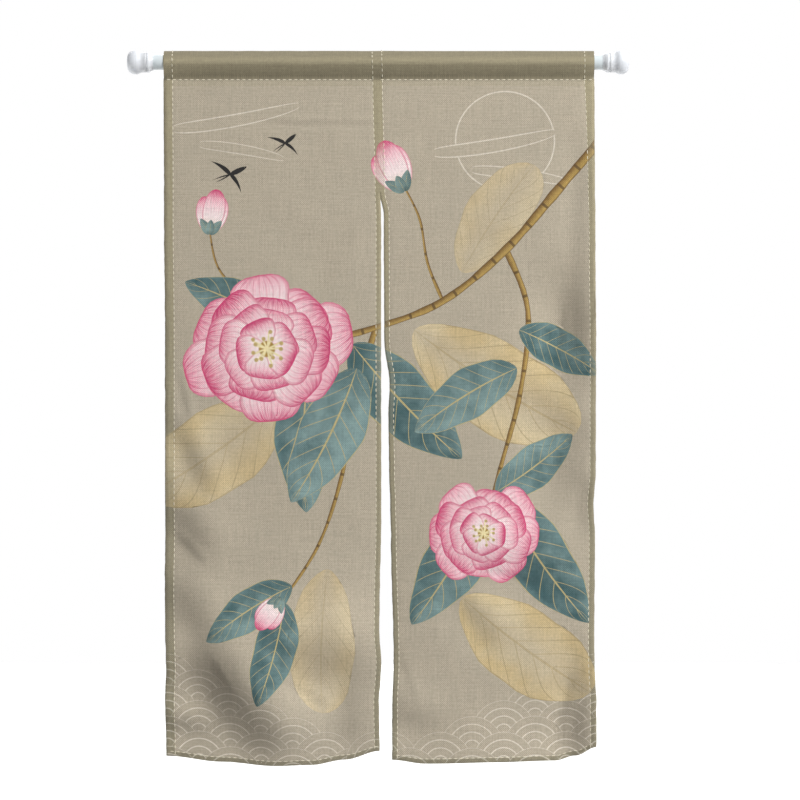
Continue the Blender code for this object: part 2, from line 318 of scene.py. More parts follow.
def joined(drop):
    """Whether the panels are sewn together at this drop: 1 above the slit and 0 along it."""
    return smooth((JOIN_DROP + PARTING / 2 - drop) / PARTING)


def edge_ripple(panel, on_left, drop):
    """How far a hem's folded edge wavers in X at this drop."""
    slit_side = on_left != is_left(panel)
    row = 3.0 * on_left + 7.0 * is_left(panel)
    coarse, fine = (drop * scale for scale in RIPPLE_SCALES)
    waver = noise.noise(Vector((coarse, row, 0))) + 0.6 * noise.noise(Vector((fine, row, 4)))
    return RIPPLE * waver * (1 - joined(drop) if slit_side else 1.0)


def edges_at(panel, drop):
    """A panel's left and right edge at this drop, up against the other panel's where they are joined."""
    return kept_edges(panel, round(drop, 4))


@lru_cache(maxsize=None)
def kept_edges(panel, drop):
    left, right = (eased(panel.edges, "drop", side, drop) for side in ("left", "right"))
    lap = SEAM_GAP / 2 * joined(drop)
    return (left, right + lap) if is_left(panel) else (left - lap, right)


def fold_depth(fold, x, drop):
    """How far back one fold sets the cloth at this place."""
    run_x, run_drop = fold.x1 - fold.x0, fold.drop1 - fold.drop0
    length = math.hypot(run_x, run_drop)
    along = ((x - fold.x0) * run_x + (drop - fold.drop0) * run_drop) / length
    aside = ((x - fold.x0) * run_drop - (drop - fold.drop0) * run_x) / length
    side = aside / fold.half_width
    if abs(side) > FOLD_REACH:
        return 0.0
    begun = smooth((along + fold.fade) / (2 * fold.fade))
    not_ended = smooth((length + fold.fade - along) / (2 * fold.fade))
    return -fold.rise * side * math.exp((1 - side * side) / 2) * begun * not_ended


def right_hem(panel, drop):
    """The outer right hem is wider at the heading."""
    wide = WIDE_HEM * math.exp(-max(drop, 0.0) / WIDE_HEM_FADE)
    return panel.right_hem + (wide if panel.right_hem == OUTER_RIGHT_HEM else 0.0)


def lowest_drop(panel, across):
    return eased(panel.foot, "across", "drop", across)


def hem_shares(panel, x, drop, inset=0.0):
    """How much the cloth is doubled here by a hem, less an inset, and how much by the flap, from 0 to 1."""
    left, right = edges_at(panel, drop)
    start, end = left + panel.left_hem, right - right_hem(panel, drop)
    low = lowest_drop(panel, (x - left) / (right - left)) - BOTTOM_HEM
    inside = min(x - start, end - x, low - drop) + inset
    hem = max(0.0, min(1.0, 0.5 - inside / HEM_STEP))
    flap = max(0.0, min(1.0, 0.5 + (FLAP_DROP - drop) / HEM_STEP))
    return hem, flap


def groove(panel, x, drop):
    """The shallow dip that the hems' stitches draw."""
    left, right = edges_at(panel, drop)
    low = lowest_drop(panel, (x - left) / (right - left))
    lines = (
        x - left - panel.left_hem + STITCH_INSET,
        right - x - right_hem(panel, drop) + STITCH_INSET,
        low - drop - BOTTOM_HEM + STITCH_INSET,
        drop - POCKET_STITCHES,
    )
    return GROOVE * max(math.exp(-((line / GROOVE_WIDTH) ** 2)) for line in lines)


def front_depth(panel, x, drop):
    """Where the printed face lies in Y: the solid's folds, finer creases and a slight unevenness."""
    left, right = edges_at(panel, drop)
    below_heading = smooth((drop - SEAM_DROP) / HEADING_FADE)
    folds = sum(fold_depth(fold, x, drop) for fold in panel.folds + panel.creases)
    bow = math.sin(math.pi * (x - left) / (right - left))
    billow = BILLOW * bow * smooth((drop - JOIN_DROP) / BILLOW_RUN)
    wave = WAVE_HEIGHT * noise.noise(Vector((x * WAVE_SCALE, drop * WAVE_SCALE, 0.5)))
    return FACE + (folds + wave) * below_heading - billow + groove(panel, x, drop)


def back_depth(panel, x, drop):
    return front_depth(panel, x, drop) + SINGLE + (DOUBLE - SINGLE) * max(hem_shares(panel, x, drop))


def hem_insets(hem):
    """Distances from a folded edge of the columns on its hem: two lie where the hem's painted shade ends
    and where the hem ends.
    """
    return [0.0, (hem - HEM_SHADE_INSET) / 2, hem - HEM_SHADE_INSET, hem - HEM_STEP / 2]


def column_insets(panel, width, drop):
    """Distances from the panel's left edge of its columns, with a close pair at each hem's inner edge."""
    start, end = panel.left_hem, width - right_hem(panel, drop)
    step = HEM_STEP / 2
    left = hem_insets(start)
    field = [start + step + (end - start - HEM_STEP) * i / FIELD_STRIPS for i in range(FIELD_STRIPS + 1)]
    right = [width - inset for inset in reversed(hem_insets(width - end))]
    return left + field + right


def row_drops(lowest):
    """Drops of a column's rows, with a close pair at the flap's end and at the bottom hem's edge."""
    hem_edge = lowest - BOTTOM_HEM
    top, low = FLAP_DROP + HEM_STEP / 2, hem_edge - HEM_STEP / 2
    heading = [SEAM_DROP, (SEAM_DROP + FLAP_DROP) / 2, FLAP_DROP - HEM_STEP / 2]
    field = [top + (low - top) * i / FIELD_ROWS for i in range(FIELD_ROWS + 1)]
    return [*heading, *field, hem_edge + HEM_STEP / 2, hem_edge + HEM_SHADE_INSET, lowest]


def flat_grid(panel):
    """Columns of points (x, -drop) over a panel, from the pocket's seam to the bottom edge."""
    columns = []
    last = 2 * HEM_STRIPS + FIELD_STRIPS + 2
    for column in range(last + 1):

        def x_at(drop):
            left, right = edges_at(panel, drop)
            x = left + column_insets(panel, right - left, drop)[column]
            for on_left, from_edge in ((True, column), (False, last - column)):
                x += edge_ripple(panel, on_left, drop) * max(0.0, 1 - from_edge / HEM_STRIPS)
            return x

        left, right = edges_at(panel, panel.foot[0].drop)
        across = (x_at(panel.foot[0].drop) - left) / (right - left)
        columns.append([(x_at(drop), -drop) for drop in row_drops(lowest_drop(panel, across))])
    return columns


def pocket_contours():
    """The pocket's outline outside and inside, in Y and Z, from the seam up the front and down the back."""
    top = math.acos(POCKET_CLEAR_RADIUS / POCKET_CREASE)
    low = math.pi - math.acos(POCKET_CLEAR_RADIUS / POCKET_TIP)
    arc = [top + (low - top) * i / POCKET_STEPS for i in range(POCKET_STEPS + 1)]
    crease = POCKET_CREASE + SINGLE / math.cos(top)
    outer = [(0.0, crease - CREASE_ROUND / 3), (CREASE_ROUND, crease - CREASE_ROUND)]
    inner = [(0.0, POCKET_CREASE), (CREASE_ROUND / 2, POCKET_CREASE - CREASE_ROUND / 2)]
    for angle in arc:
        for outline, radius in ((inner, POCKET_CLEAR_RADIUS), (outer, POCKET_CLEAR_RADIUS + SINGLE)):
            outline.append((radius * math.sin(angle), radius * math.cos(angle)))
    tip = (0.0, -POCKET_TIP)
    outer_end, inner_end = outer[-1], inner[-1]
    for i in range(1, 4):
        share = i / 4
        outer.append(lerp(outer_end, (FACE + DOUBLE, -SEAM_DROP), share))
        inner.append(lerp(inner_end, tip, share))
    front_outer = [(-y, z) for y, z in reversed(outer[1:])]
    front_inner = [(-y, z) for y, z in reversed(inner[1:])]
    return [*front_outer, *outer], [tip, *front_inner, *inner]


def lerp(start, end, share):
    return tuple(a * (1 - share) + b * share for a, b in zip(start, end))


def pocket_point(panel, across, y, z):
    """A point of the pocket's cloth, with its pressed crease a little uneven."""
    left, right = edges_at(panel, -z)
    x = left + across * (right - left)
    near_crease = smooth((z - 0.010) / 0.012)
    lift = CREASE_WAVER * noise.noise(Vector((x * CREASE_WAVER_SCALE, 0.0, 2.5))) * near_crease
    return Vector((x, y, z + abs(lift)))


# Outlines of the print


Motif = namedtuple("Motif", "outline kind tone locate")


def blade(x, drop, angle, length, width, bend, fullness, bluntness, kind, tone, ripple=0.0):
    """A petal, leaf or wing: widest part of the way along, with its place along and across as UV."""
    along_x, along_z = math.cos(angle) * length, math.sin(angle) * length
    aside_x, aside_z = -math.sin(angle), math.cos(angle)
    peak = fullness / (fullness + bluntness)
    most = peak**fullness * (1 - peak) ** bluntness

    def half_width(share):
        share = max(1e-4, min(1 - 1e-4, share))
        shape = share**fullness * (1 - share) ** bluntness / most
        return width / 2 * shape * (1 + ripple * math.sin(17 * share + 9 * tone))

    def point(share, side):
        off = bend * length * share * share + side * half_width(share)
        return x + along_x * share + aside_x * off, -drop + along_z * share + aside_z * off

    def locate(px, pz):
        share = ((px - x) * along_x + (pz + drop) * along_z) / (length * length)
        off = (px - x) * aside_x + (pz + drop) * aside_z - bend * length * share * share
        return share, max(-1.0, min(1.0, off / half_width(share)))

    steps = 15
    shares = [(1 - math.cos(math.pi * i / steps)) / 2 for i in range(1, steps)]
    near = [point(share, -1) for share in shares]
    far = [point(share, 1) for share in reversed(shares)]
    return Motif([point(0, 0), *near, point(1, 0), *far], kind, tone, locate)


def curve_point(a, b, c, d, t):
    """A place at the share t of the way from b to c, on a smooth curve that comes from a and goes to d."""
    bow = 2 * a - 5 * b + 4 * c - d + t * (3 * (b - c) + d - a)
    return b + 0.5 * t * (c - a + t * bow)


def route_points(route, steps=7):
    """A smooth curve through the route's points."""
    ends = [route[0], *route, route[-1]]
    points = []
    for near in zip(ends, ends[1:], ends[2:], ends[3:]):
        xs, drops = zip(*near)
        points += [(curve_point(*xs, i / steps), curve_point(*drops, i / steps)) for i in range(steps)]
    return [*points, route[-1]]


def branch_motif(branch):
    """A tapering branch along its route, with metres along and its place across as UV."""
    points = [Vector((x, -drop)) for x, drop in route_points(branch.route)]
    lengths = [0.0]
    for a, b in zip(points, points[1:]):
        lengths.append(lengths[-1] + (b - a).length)

    def half_width(along):
        share = along / lengths[-1]
        knots = 1 + 0.16 * math.sin(along * 61) * math.sin(along * 23 + 1)
        return (branch.start_width * (1 - share) + branch.end_width * share) / 2 * knots

    near, far = [], []
    for i, here in enumerate(points):
        run = (points[min(i + 1, len(points) - 1)] - points[max(i - 1, 0)]).normalized()
        off = Vector((-run.y, run.x)) * half_width(lengths[i])
        near.append(tuple(here - off))
        far.append(tuple(here + off))

    def locate(px, pz):
        spot, best = Vector((px, pz)), None
        for i, (a, b) in enumerate(zip(points, points[1:])):
            run = b - a
            share = max(0.0, min(1.0, (spot - a).dot(run) / run.length_squared))
            away = spot - (a + run * share)
            if best is None or away.length < abs(best[1]):
                side = 1 if run.cross(away) > 0 else -1
                best = lengths[i] + run.length * share, side * away.length
        return best[0], max(-1.0, min(1.0, best[1] / half_width(best[0])))

    return Motif(near + far[::-1], WOOD, 0.5, locate)


def disc(x, drop, radius, kind, tone, steps=20):
    """A round spot, with its share of the radius and its angle as UV."""
    turns = [math.tau * i / steps for i in range(steps)]
    outline = [(x + radius * math.cos(turn), -drop + radius * math.sin(turn)) for turn in turns]

    def locate(px, pz):
        return math.hypot(px - x, pz + drop) / radius, 0.0

    return Motif(outline, kind, tone, locate)


def petal_motif(bloom, ring, i):
    """One rounded petal of a ring, seen a little from the side."""
    turn = math.radians(bloom.turn + ring.turn + 360 * i / ring.count + 7 * math.sin(5 * i + ring.turn))
    reach_x, reach_z = math.cos(turn), math.sin(turn) * bloom.flatten
    angle, squash = math.atan2(reach_z, reach_x), math.hypot(reach_x, reach_z)
    length = bloom.radius * ring.reach * squash * (1 + 0.07 * math.sin(3 * i + ring.count))
    width = bloom.radius * ring.width * (1 + 0.06 * math.cos(4 * i))
    x = bloom.x - math.cos(angle) * ring.set_back * bloom.radius
    drop = bloom.drop + math.sin(angle) * ring.set_back * bloom.radius
    tone = ring.tone + 0.15 * math.sin(2.3 * i + ring.turn)
    bend = 0.06 * math.sin(1.7 * i + ring.count)
    return blade(x, drop, angle, length, width, bend, 0.85, 0.34, PETAL, tone, 0.03)


def stamen_motifs(bloom, i):
    """One stamen and its dusty tip."""
    turn = math.tau * (i + 0.3 * math.sin(4 * i)) / STAMENS
    reach = bloom.radius * STAMEN_REACH * (1 + 0.25 * math.sin(2.7 * i))
    tip_x, tip_drop = bloom.x + reach * math.cos(turn), bloom.drop - reach * math.sin(turn)
    stem = blade(bloom.x, bloom.drop, turn, reach, bloom.radius * 0.022, 0.1, 0.3, 0.3, GOLD, 0.9)
    return [stem, disc(tip_x, tip_drop, bloom.radius * 0.026, GOLD, 0.45, 9)]


def bloom_motifs(bloom):
    """Rings of petals, and the stamens on them."""
    made = [petal_motif(bloom, ring, i) for ring in PETAL_RINGS for i in range(ring.count)]
    made.append(disc(bloom.x, bloom.drop, bloom.radius * 0.10, GOLD, 0.2))
    for i in range(STAMENS):
        made += stamen_motifs(bloom, i)
    return made


def bud_motifs(bud):
    """A closed bud: petals wrapped about each other in a small green cup."""

    def part(spread, reach, width, *shape):
        turn = math.radians(bud.angle) + math.radians(spread)
        return blade(bud.x, bud.drop, turn, bud.length * reach, bud.length * width, *shape)

    made = []
    petals = ((-20, 0.86, 0.42, 0.2), (20, 0.84, 0.42, 0.35), (-5, 1.0, 0.5, 0.55))
    for spread, reach, width, tone in petals:
        made.append(part(spread, reach, width, -0.25 * math.radians(spread), 0.6, 0.5, PETAL, tone))
    for spread, reach in ((-36, 0.40), (36, 0.40), (0, 0.32)):
        made.append(part(spread, reach, 0.2, 0, 0.5, 0.8, LEAF, 0.6))
    return made


def bird_motifs(bird):
    """A small bird in flight: a body, two swept wings and a forked tail, as strokes of ink."""
    strokes = (
        (0, 0.62, 0.17, 0.02, 0.5, 0.7),
        (104, 0.78, 0.15, 0.32, 0.4, 1.1),
        (-62, 0.70, 0.13, -0.40, 0.4, 1.1),
        (168, 0.62, 0.045, 0.10, 0.3, 0.9),
        (190, 0.56, 0.045, -0.10, 0.3, 0.9),
    )
    made = []
    for turn, reach, width, bend, full, blunt in strokes:
        angle = math.radians(bird.angle + turn)
        length = bird.span * reach
        made.append(blade(bird.x, bird.drop, angle, length, bird.span * width, bend, full, blunt, INK, 0.5))
    return made


def wave_motifs(waves):
    """Overlapping round waves, each of thin rings, fading away from their corner."""
    made = []
    side = 1 if waves.columns > 0 else -1
    for row in range(waves.rows - 1, -1, -1):
        for column in range(abs(waves.columns) + 1):
            fade = 1 - 0.7 * (column / abs(waves.columns) + row / waves.rows) / 2
            if column + row * 0.55 > abs(waves.columns) + 0.6:
                continue
            x = waves.x + side * waves.radius * (2 * column + row % 2)
            made.append(disc(x, waves.drop - row * waves.radius * 0.5, waves.radius, WAVE, fade, 44))
    return made


def sky_motifs():
    """A moon, drawn as one thin ring, and bands of mist before it."""
    moon = disc(MOON.x, MOON.drop, MOON.radius, WAVE, 0.8, 60)

    def in_moon(px, pz):
        return max(0.82, 0.5 + 0.5 * moon.locate(px, pz)[0]), 0.0

    made = [moon._replace(locate=in_moon)]
    for mist in MISTS:
        band = leaf_motif(mist, 0.22, 0.30, WAVE, 0.0)

        def in_band(px, pz, band=band):
            return 0.905 + 0.1 * abs(band.locate(px, pz)[1]), 0.0

        made.append(band._replace(locate=in_band))
    return made


def leaf_motif(leaf, full, blunt, kind, ripple=0.035):
    """A leaf or band as its row gives it."""
    shape = (leaf.length, leaf.width, leaf.bend, full, blunt, kind, leaf.tone, ripple)
    return blade(leaf.x, leaf.drop, math.radians(leaf.angle), *shape)


def print_motifs():
    """All outlines of the print, from the back of the picture to its front."""
    made = []
    for waves in WAVES:
        made += wave_motifs(waves)
    made += sky_motifs()
    made += [leaf_motif(leaf, 0.62, 0.50, GHOST) for leaf in GHOST_LEAVES]
    made += [branch_motif(branch) for branch in BRANCHES]
    made += [leaf_motif(leaf, 0.62, 0.78, LEAF) for leaf in LEAVES]
    for bloom in BLOOMS:
        made += bloom_motifs(bloom)
    for bud in BUDS:
        made += bud_motifs(bud)
    for bird in BIRDS:
        made += bird_motifs(bird)
    return made


# The cloth's mesh


def new_object(name, data):
    made = bpy.data.objects.new(name, data)
    bpy.context.scene.collection.objects.link(made)
    return made


def anticlockwise(outline):
    area = sum(a[0] * b[1] - b[0] * a[1] for a, b in zip(outline, outline[1:] + outline[:1]))
    return outline if area > 0 else outline[::-1]


def cut_flat_sheet(panel, motifs):
    """Triangles of the flat panel, cut along the print's outlines, each with the motif on top of it."""
    grid = flat_grid(panel)
    columns, rows = len(grid), len(grid[0])
    points = [point for column in grid for point in column]
    # Where a hem or its tint starts, the grid's own lines stay whole
    beside = (HEM_STRIPS - 1, HEM_STRIPS, HEM_STRIPS + 1)
    hem_columns = [*beside, *(columns - 1 - column for column in beside)]
    hem_rows = (2, 3, rows - 4, rows - 3, rows - 2)
    lines = [(c * rows + r, c * rows + r + 1) for c in hem_columns for r in range(rows - 1)]
    lines += [(c * rows + r, (c + 1) * rows + r) for r in hem_rows for c in range(columns - 1)]
    border = [r for r in range(rows)]
    border += [c * rows + rows - 1 for c in range(1, columns)]
    border += [(columns - 1) * rows + r for r in range(rows - 2, -1, -1)]
    border += [c * rows for c in range(columns - 2, 0, -1)]
    outlines = [border]
    for motif in motifs:
        outlines.append(list(range(len(points), len(points) + len(motif.outline))))
        points += anticlockwise(motif.outline)
    flat = [Vector(point) for point in points]
    vertices, _, faces, _, _, inside = delaunay_2d_cdt(flat, lines, outlines, 0, 1e-6, True)
    kept = [(face, max(over)) for face, over in zip(faces, inside) if 0 in over]
    return vertices, [(face, motifs[top - 1] if top else None) for face, top in kept]


def outward_directions(vertices, triangles):
    """For each vertex of the sheet's side and bottom edges, the way out of the sheet, and the edges."""
    seen = {}
    for face, _ in triangles:
        for i in range(3):
            a, b, c = face[i], face[i - 2], face[i - 1]
            key = (min(a, b), max(a, b))
            seen[key] = None if key in seen else c
    ways, rims = {}, []
    for (a, b), opposite in seen.items():
        if opposite is None or max(-vertices[a].y, -vertices[b].y) < SEAM_DROP + 1e-5:
            continue
        run = vertices[b] - vertices[a]
        way = Vector((run.y, -run.x)).normalized()
        if way.dot(vertices[opposite] - vertices[a]) > 0:
            way.negate()
        rims.append((a, b))
        for end in (a, b):
            ways[end] = ways.get(end, Vector((0, 0))) + way
    return {end: way.normalized() for end, way in ways.items()}, rims


class ClothMesh:
    """One panel's closed mesh, built from its flat triangles."""

    def __init__(self, panel, motifs):
        self.panel = panel
        self.bm = bmesh.new()
        self.flat_uv = self.bm.loops.layers.uv.new("cloth")
        self.motif_uv = self.bm.loops.layers.uv.new("motif")
        self.hem = self.bm.faces.layers.float.new("hem")
        self.back = self.bm.faces.layers.float.new("back")
        self.tone = self.bm.faces.layers.float.new("tone")
        self.flat = {}  # a vertex's place on the flat cloth
        self.vertices, self.triangles = cut_flat_sheet(panel, motifs)
        used = sorted({index for face, _ in self.triangles for index in face})
        self.front = {index: self.sheet_vertex(index, front_depth) for index in used}
        self.rear = {index: self.sheet_vertex(index, back_depth) for index in used}
        self.lay_sheet()
        self.round_edges()
        self.wrap_pocket()

    def sheet_vertex(self, index, depth_at):
        x, z = self.vertices[index]
        return self.vertex((x, depth_at(self.panel, x, -z), z), (x, z))

    def vertex(self, place, flat):
        made = self.bm.verts.new(place)
        self.flat[made] = flat
        return made

    def face(self, corners, hem, back, motif=None):
        """A face with its kind, its share of doubling and its corners' places on cloth and motif."""
        made = self.bm.faces.new(corners)
        made.material_index = motif.kind if motif else GROUND
        made[self.hem], made[self.back] = hem, back
        made[self.tone] = motif.tone if motif else 0.0
        for loop in made.loops:
            x, z = self.flat[loop.vert]
            loop[self.flat_uv].uv = (x, z)
            loop[self.motif_uv].uv = motif.locate(x, z) if motif else (0.0, 0.0)

    def lay_sheet(self):
        """The printed face and the back of the cloth below the pocket."""
        for indices, motif in self.triangles:
            centre = sum((self.vertices[i] for i in indices), Vector((0, 0))) / 3
            # hem: each face's share of painted shade, for doubled cloth on the hems and, less, on the flap
            hem, flap = hem_shares(self.panel, centre.x, -centre.y, HEM_SHADE_INSET)
            hem = max(hem, FLAP_SHADE * flap)
            self.face([self.front[i] for i in indices], hem, 0.0, motif)
            self.face([self.rear[i] for i in reversed(indices)], hem, 1.0, motif)

    def round_edges(self):
        """The folded edges of the hems, a little round."""
        ways, rims = outward_directions(self.vertices, self.triangles)
        self.middle = {}
        for index, way in ways.items():
            front, rear = self.front[index], self.rear[index]
            on_seam = abs(way.x) > 0.5 and (way.x > 0) == is_left(self.panel)
            bulge = (rear.co.y - front.co.y) * ROUNDING * (1 - joined(-front.co.z) * on_seam)
            centre = (front.co + rear.co) / 2 + Vector((way.x, 0, way.y)) * bulge
            self.middle[index] = self.vertex(centre, self.flat[front])
        for a, b in rims:
            self.face((self.front[a], self.front[b], self.middle[b], self.middle[a]), 1.0, 0.0)
            self.face((self.middle[a], self.middle[b], self.rear[b], self.rear[a]), 1.0, 1.0)

    def wrap_pocket(self):
        """The rod pocket, from the front of its seam over the rod to the back, and its inside."""
        heads = [i for i in self.front if -self.vertices[i].y < SEAM_DROP + 1e-5]
        heads.sort(key=lambda i: self.vertices[i].x)
        outer, inner = pocket_contours()
        left, right = edges_at(self.panel, SEAM_DROP)
        walls, holes = [], []
        for i in heads:
            across = (self.vertices[i].x - left) / (right - left)
            walls.append([self.front[i], *self.contour(outer, across), self.rear[i]])
            holes.append(self.contour(inner, across))
        half = len(outer) // 2
        for wall, following, hole, next_hole in zip(walls, walls[1:], holes, holes[1:]):
            for j in range(len(wall) - 1):
                back = 1.0 if j > half else 0.0
                self.face((wall[j], wall[j + 1], following[j + 1], following[j]), 1.0, back)
            for j in range(len(hole)):
                k = (j + 1) % len(hole)
                self.face((hole[k], hole[j], next_hole[j], next_hole[k]), 1.0, 1.0)
        for end in (0, -1):
            self.close_end(walls[end], holes[end], self.middle[heads[end]])

    def contour(self, outline, across):
        """Vertices along one outline of the pocket, the flat cloth unrolled upwards from the seam."""
        run, before, made = -SEAM_DROP, outline[0], []
        for y, z in outline:
            run += math.dist((y, z), before)
            before = (y, z)
            place = pocket_point(self.panel, across, y, z)
            made.append(self.vertex(place, (place.x, run)))
        return made

    def close_end(self, wall, hole, middle):
        """The narrow face at the pocket's open end."""
        loop = [*hole, hole[0]]
        for j in range(len(wall) - 1):
            self.face((wall[j], wall[j + 1], loop[j + 1], loop[j]), 1.0, 0.0)
        self.face((wall[0], hole[0], wall[-1], middle), 1.0, 0.0)

    def finish(self, name, materials):
        bmesh.ops.recalc_face_normals(self.bm, faces=self.bm.faces)
        mesh = bpy.data.meshes.new(name)
        self.bm.to_mesh(mesh)
        self.bm.free()
        mesh.shade_smooth()
        mesh.set_sharp_from_angle(angle=SHARP_ANGLE)
        for material in materials:
            mesh.materials.append(material)
        return new_object(name, mesh)


# Stitches

UPRIGHT_SPOTS = 240
LEVEL_SPOTS = 90
SEAM_START = 0.006  # share of the width left bare at each end of a level line
SEAM_END = 0.004  # from the bottom edge to where an upright line starts
LINE_START = 0.003  # from the start of the first line to its first stitch
LINE_SHIFT = 0.002  # more for each further line, so that they don't keep step


def sheet_spot(panel, inset_at, drop, rear):
    """A point on the cloth's front or back, and the way out of it."""
    left, right = edges_at(panel, drop)
    x = left + inset_at(right - left, drop)
    depth_at, way = (back_depth, 1) if rear else (front_depth, -1)
    return Vector((x, depth_at(panel, x, drop), -drop)), Vector((0, way, 0))


def upright_seam(panel, inset_at, rear):
    """Spots up a line of stitches from the bottom edge and over the pocket to its crease."""
    left, right = edges_at(panel, SEAM_DROP)
    across = inset_at(right - left, SEAM_DROP) / (right - left)
    lowest = lowest_drop(panel, across) - SEAM_END
    drops = [lowest + (SEAM_DROP - lowest) * i / UPRIGHT_SPOTS for i in range(UPRIGHT_SPOTS)]
    spots = [sheet_spot(panel, inset_at, drop, rear) for drop in drops]
    outer, _ = pocket_contours()
    half = outer[: len(outer) // 2 + 1]
    side = 1 if rear else -1
    for (y, z), (next_y, next_z) in zip(half, half[1:]):
        way = Vector((0, side * abs(next_z - z), abs(next_y) - abs(y))).normalized()
        way.z *= -1
        spots.append((pocket_point(panel, across, side * abs(y), z), way))
    return spots


def level_seam(panel, drop_at, rear):
    """Spots along a line of stitches from side to side."""
    spots = []
    for i in range(LEVEL_SPOTS + 1):
        across = SEAM_START + (1 - 2 * SEAM_START) * i / LEVEL_SPOTS
        drop = drop_at(across)
        spots.append(sheet_spot(panel, lambda width, _: width * across, drop, rear))
    return spots


def seams(panel, rear):
    """All lines of stitches on one side of a panel."""
    edge = STITCH_INSET
    return [
        upright_seam(panel, lambda width, drop: panel.left_hem - edge, rear),
        upright_seam(panel, lambda width, drop: width - right_hem(panel, drop) + edge, rear),
        level_seam(panel, lambda across: POCKET_STITCHES, rear),
        level_seam(panel, lambda across: lowest_drop(panel, across) - BOTTOM_HEM + edge, rear),
    ]


def stitch_places(spots, pitch, start):
    """A turned place for each stitch at even steps along a line of spots."""
    places, run, following = [], 0.0, start
    for (here, way), (there, _) in zip(spots, spots[1:]):
        step = (there - here).length
        while step > 0 and following <= run + step:
            along = (there - here).normalized()
            out = (way - along * way.dot(along)).normalized()
            aside = out.cross(along)
            turn = Matrix((along, aside, out)).transposed().to_4x4()
            places.append(Matrix.Translation(here.lerp(there, (following - run) / step)) @ turn)
            following += pitch
        run += step
    return places


def stitch_template(settings):
    """One stitch: a plump length of thread that dives into the cloth at both ends."""
    bpy.ops.object.select_all(action="DESELECT")
    bpy.ops.mesh.primitive_uv_sphere_add(segments=8, ring_count=7, radius=0.5, rotation=(0, math.pi / 2, 0))
    made = bpy.context.object
    bpy.ops.object.transform_apply(location=False, rotation=True, scale=False)
    made.scale = (settings.length, settings.thickness, settings.thickness * 0.8)
    bpy.ops.object.transform_apply(location=False, rotation=False, scale=True)
    return made


def copies(name, template, places):
    """One mesh of a template's copies at the places given."""
    source = template.data
    corners = [vertex.co.copy() for vertex in source.vertices]
    faces = [tuple(face.vertices) for face in source.polygons]
    points, polygons = [], []
    for place in places:
        first = len(points)
        points += [place @ corner for corner in corners]
        polygons += [tuple(first + i for i in face) for face in faces]
    mesh = bpy.data.meshes.new(name)
    mesh.from_pydata(points, [], polygons)
    mesh.shade_smooth()
    return new_object(name, mesh)


# Rod, feet and collars

SEGMENTS = 96
Station = namedtuple("Station", "x radius")


def turned_piece(name, stations, mirrored):
    """A round piece drawn out ring by ring along the rod's axis. The last ring joins the first, or both are
    capped where their radius is 0."""

    def along(x):
        return ROD_LENGTH - x if mirrored else x

    capped = stations[0].radius == 0
    rings = [station for station in stations if station.radius > 0]
    bpy.ops.object.select_all(action="DESELECT")
    first = rings[0]
    place, turn = (along(first.x), 0, 0), (0, math.pi / 2, 0)
    bpy.ops.mesh.primitive_circle_add(vertices=SEGMENTS, radius=first.radius, location=place, rotation=turn)
    made = bpy.context.object
    made.name = made.data.name = name
    bpy.ops.object.mode_set(mode="EDIT")
    bpy.ops.mesh.select_all(action="SELECT")
    if capped:
        bpy.ops.mesh.edge_face_add()
        bpy.ops.mesh.inset(thickness=first.radius * 0.5)
        bpy.ops.mesh.inset(thickness=first.radius * 0.3)
        bpy.ops.mesh.select_all(action="DESELECT")
        select_ring(made, first.radius)
    here = first
    for station in rings[1:]:
        step = (along(station.x) - along(here.x), 0, 0)
        bpy.ops.mesh.extrude_edges_move(TRANSFORM_OT_translate={"value": step})
        grown = station.radius / here.radius
        bpy.ops.transform.resize(value=(1, grown, grown), center_override=(along(station.x), 0, 0))
        here = station
    if capped:
        bpy.ops.mesh.edge_face_add()
        bpy.ops.mesh.inset(thickness=here.radius * 0.5)
    else:
        bpy.ops.mesh.select_all(action="SELECT")
        bpy.ops.mesh.remove_doubles(threshold=1e-6)
    bpy.ops.mesh.select_all(action="SELECT")
    bpy.ops.mesh.normals_make_consistent(inside=False)
    bpy.ops.object.mode_set(mode="OBJECT")
    bpy.ops.object.transform_apply(location=True, rotation=True, scale=True)
    bpy.ops.object.shade_smooth_by_angle(angle=math.radians(40))
    return made


def select_ring(made, radius):
    """Selects, in edit mode, the edges of the ring of this radius."""
    bpy.ops.mesh.select_mode(type="EDGE")
    mesh = bmesh.from_edit_mesh(made.data)
    place = made.matrix_world
    for edge in mesh.edges:
        ends = [place @ vertex.co for vertex in edge.verts]
        edge.select = all(abs(math.hypot(end.y, end.z) - radius) < 1e-6 for end in ends)
    bmesh.update_edit_mesh(made.data)


def rounded(x0, radius0, x1, radius1, steps, convex_first=True):
    """Stations of a quarter-round corner between two places."""
    made = []
    for i in range(steps + 1):
        angle = math.pi / 2 * i / steps
        rise, run = (math.sin(angle), 1 - math.cos(angle))
        if not convex_first:
            rise, run = run, rise
        made.append(Station(x0 + (x1 - x0) * run, radius0 + (radius1 - radius0) * rise))
    return made


def taper(x0, radius0, x1, radius1, steps):
    """Stations of a run that eases from one radius to another."""
    made = []
    for i in range(steps + 1):
        share = i / steps
        made.append(Station(x0 + (x1 - x0) * share, radius0 + (radius1 - radius0) * smooth(share)))
    return made


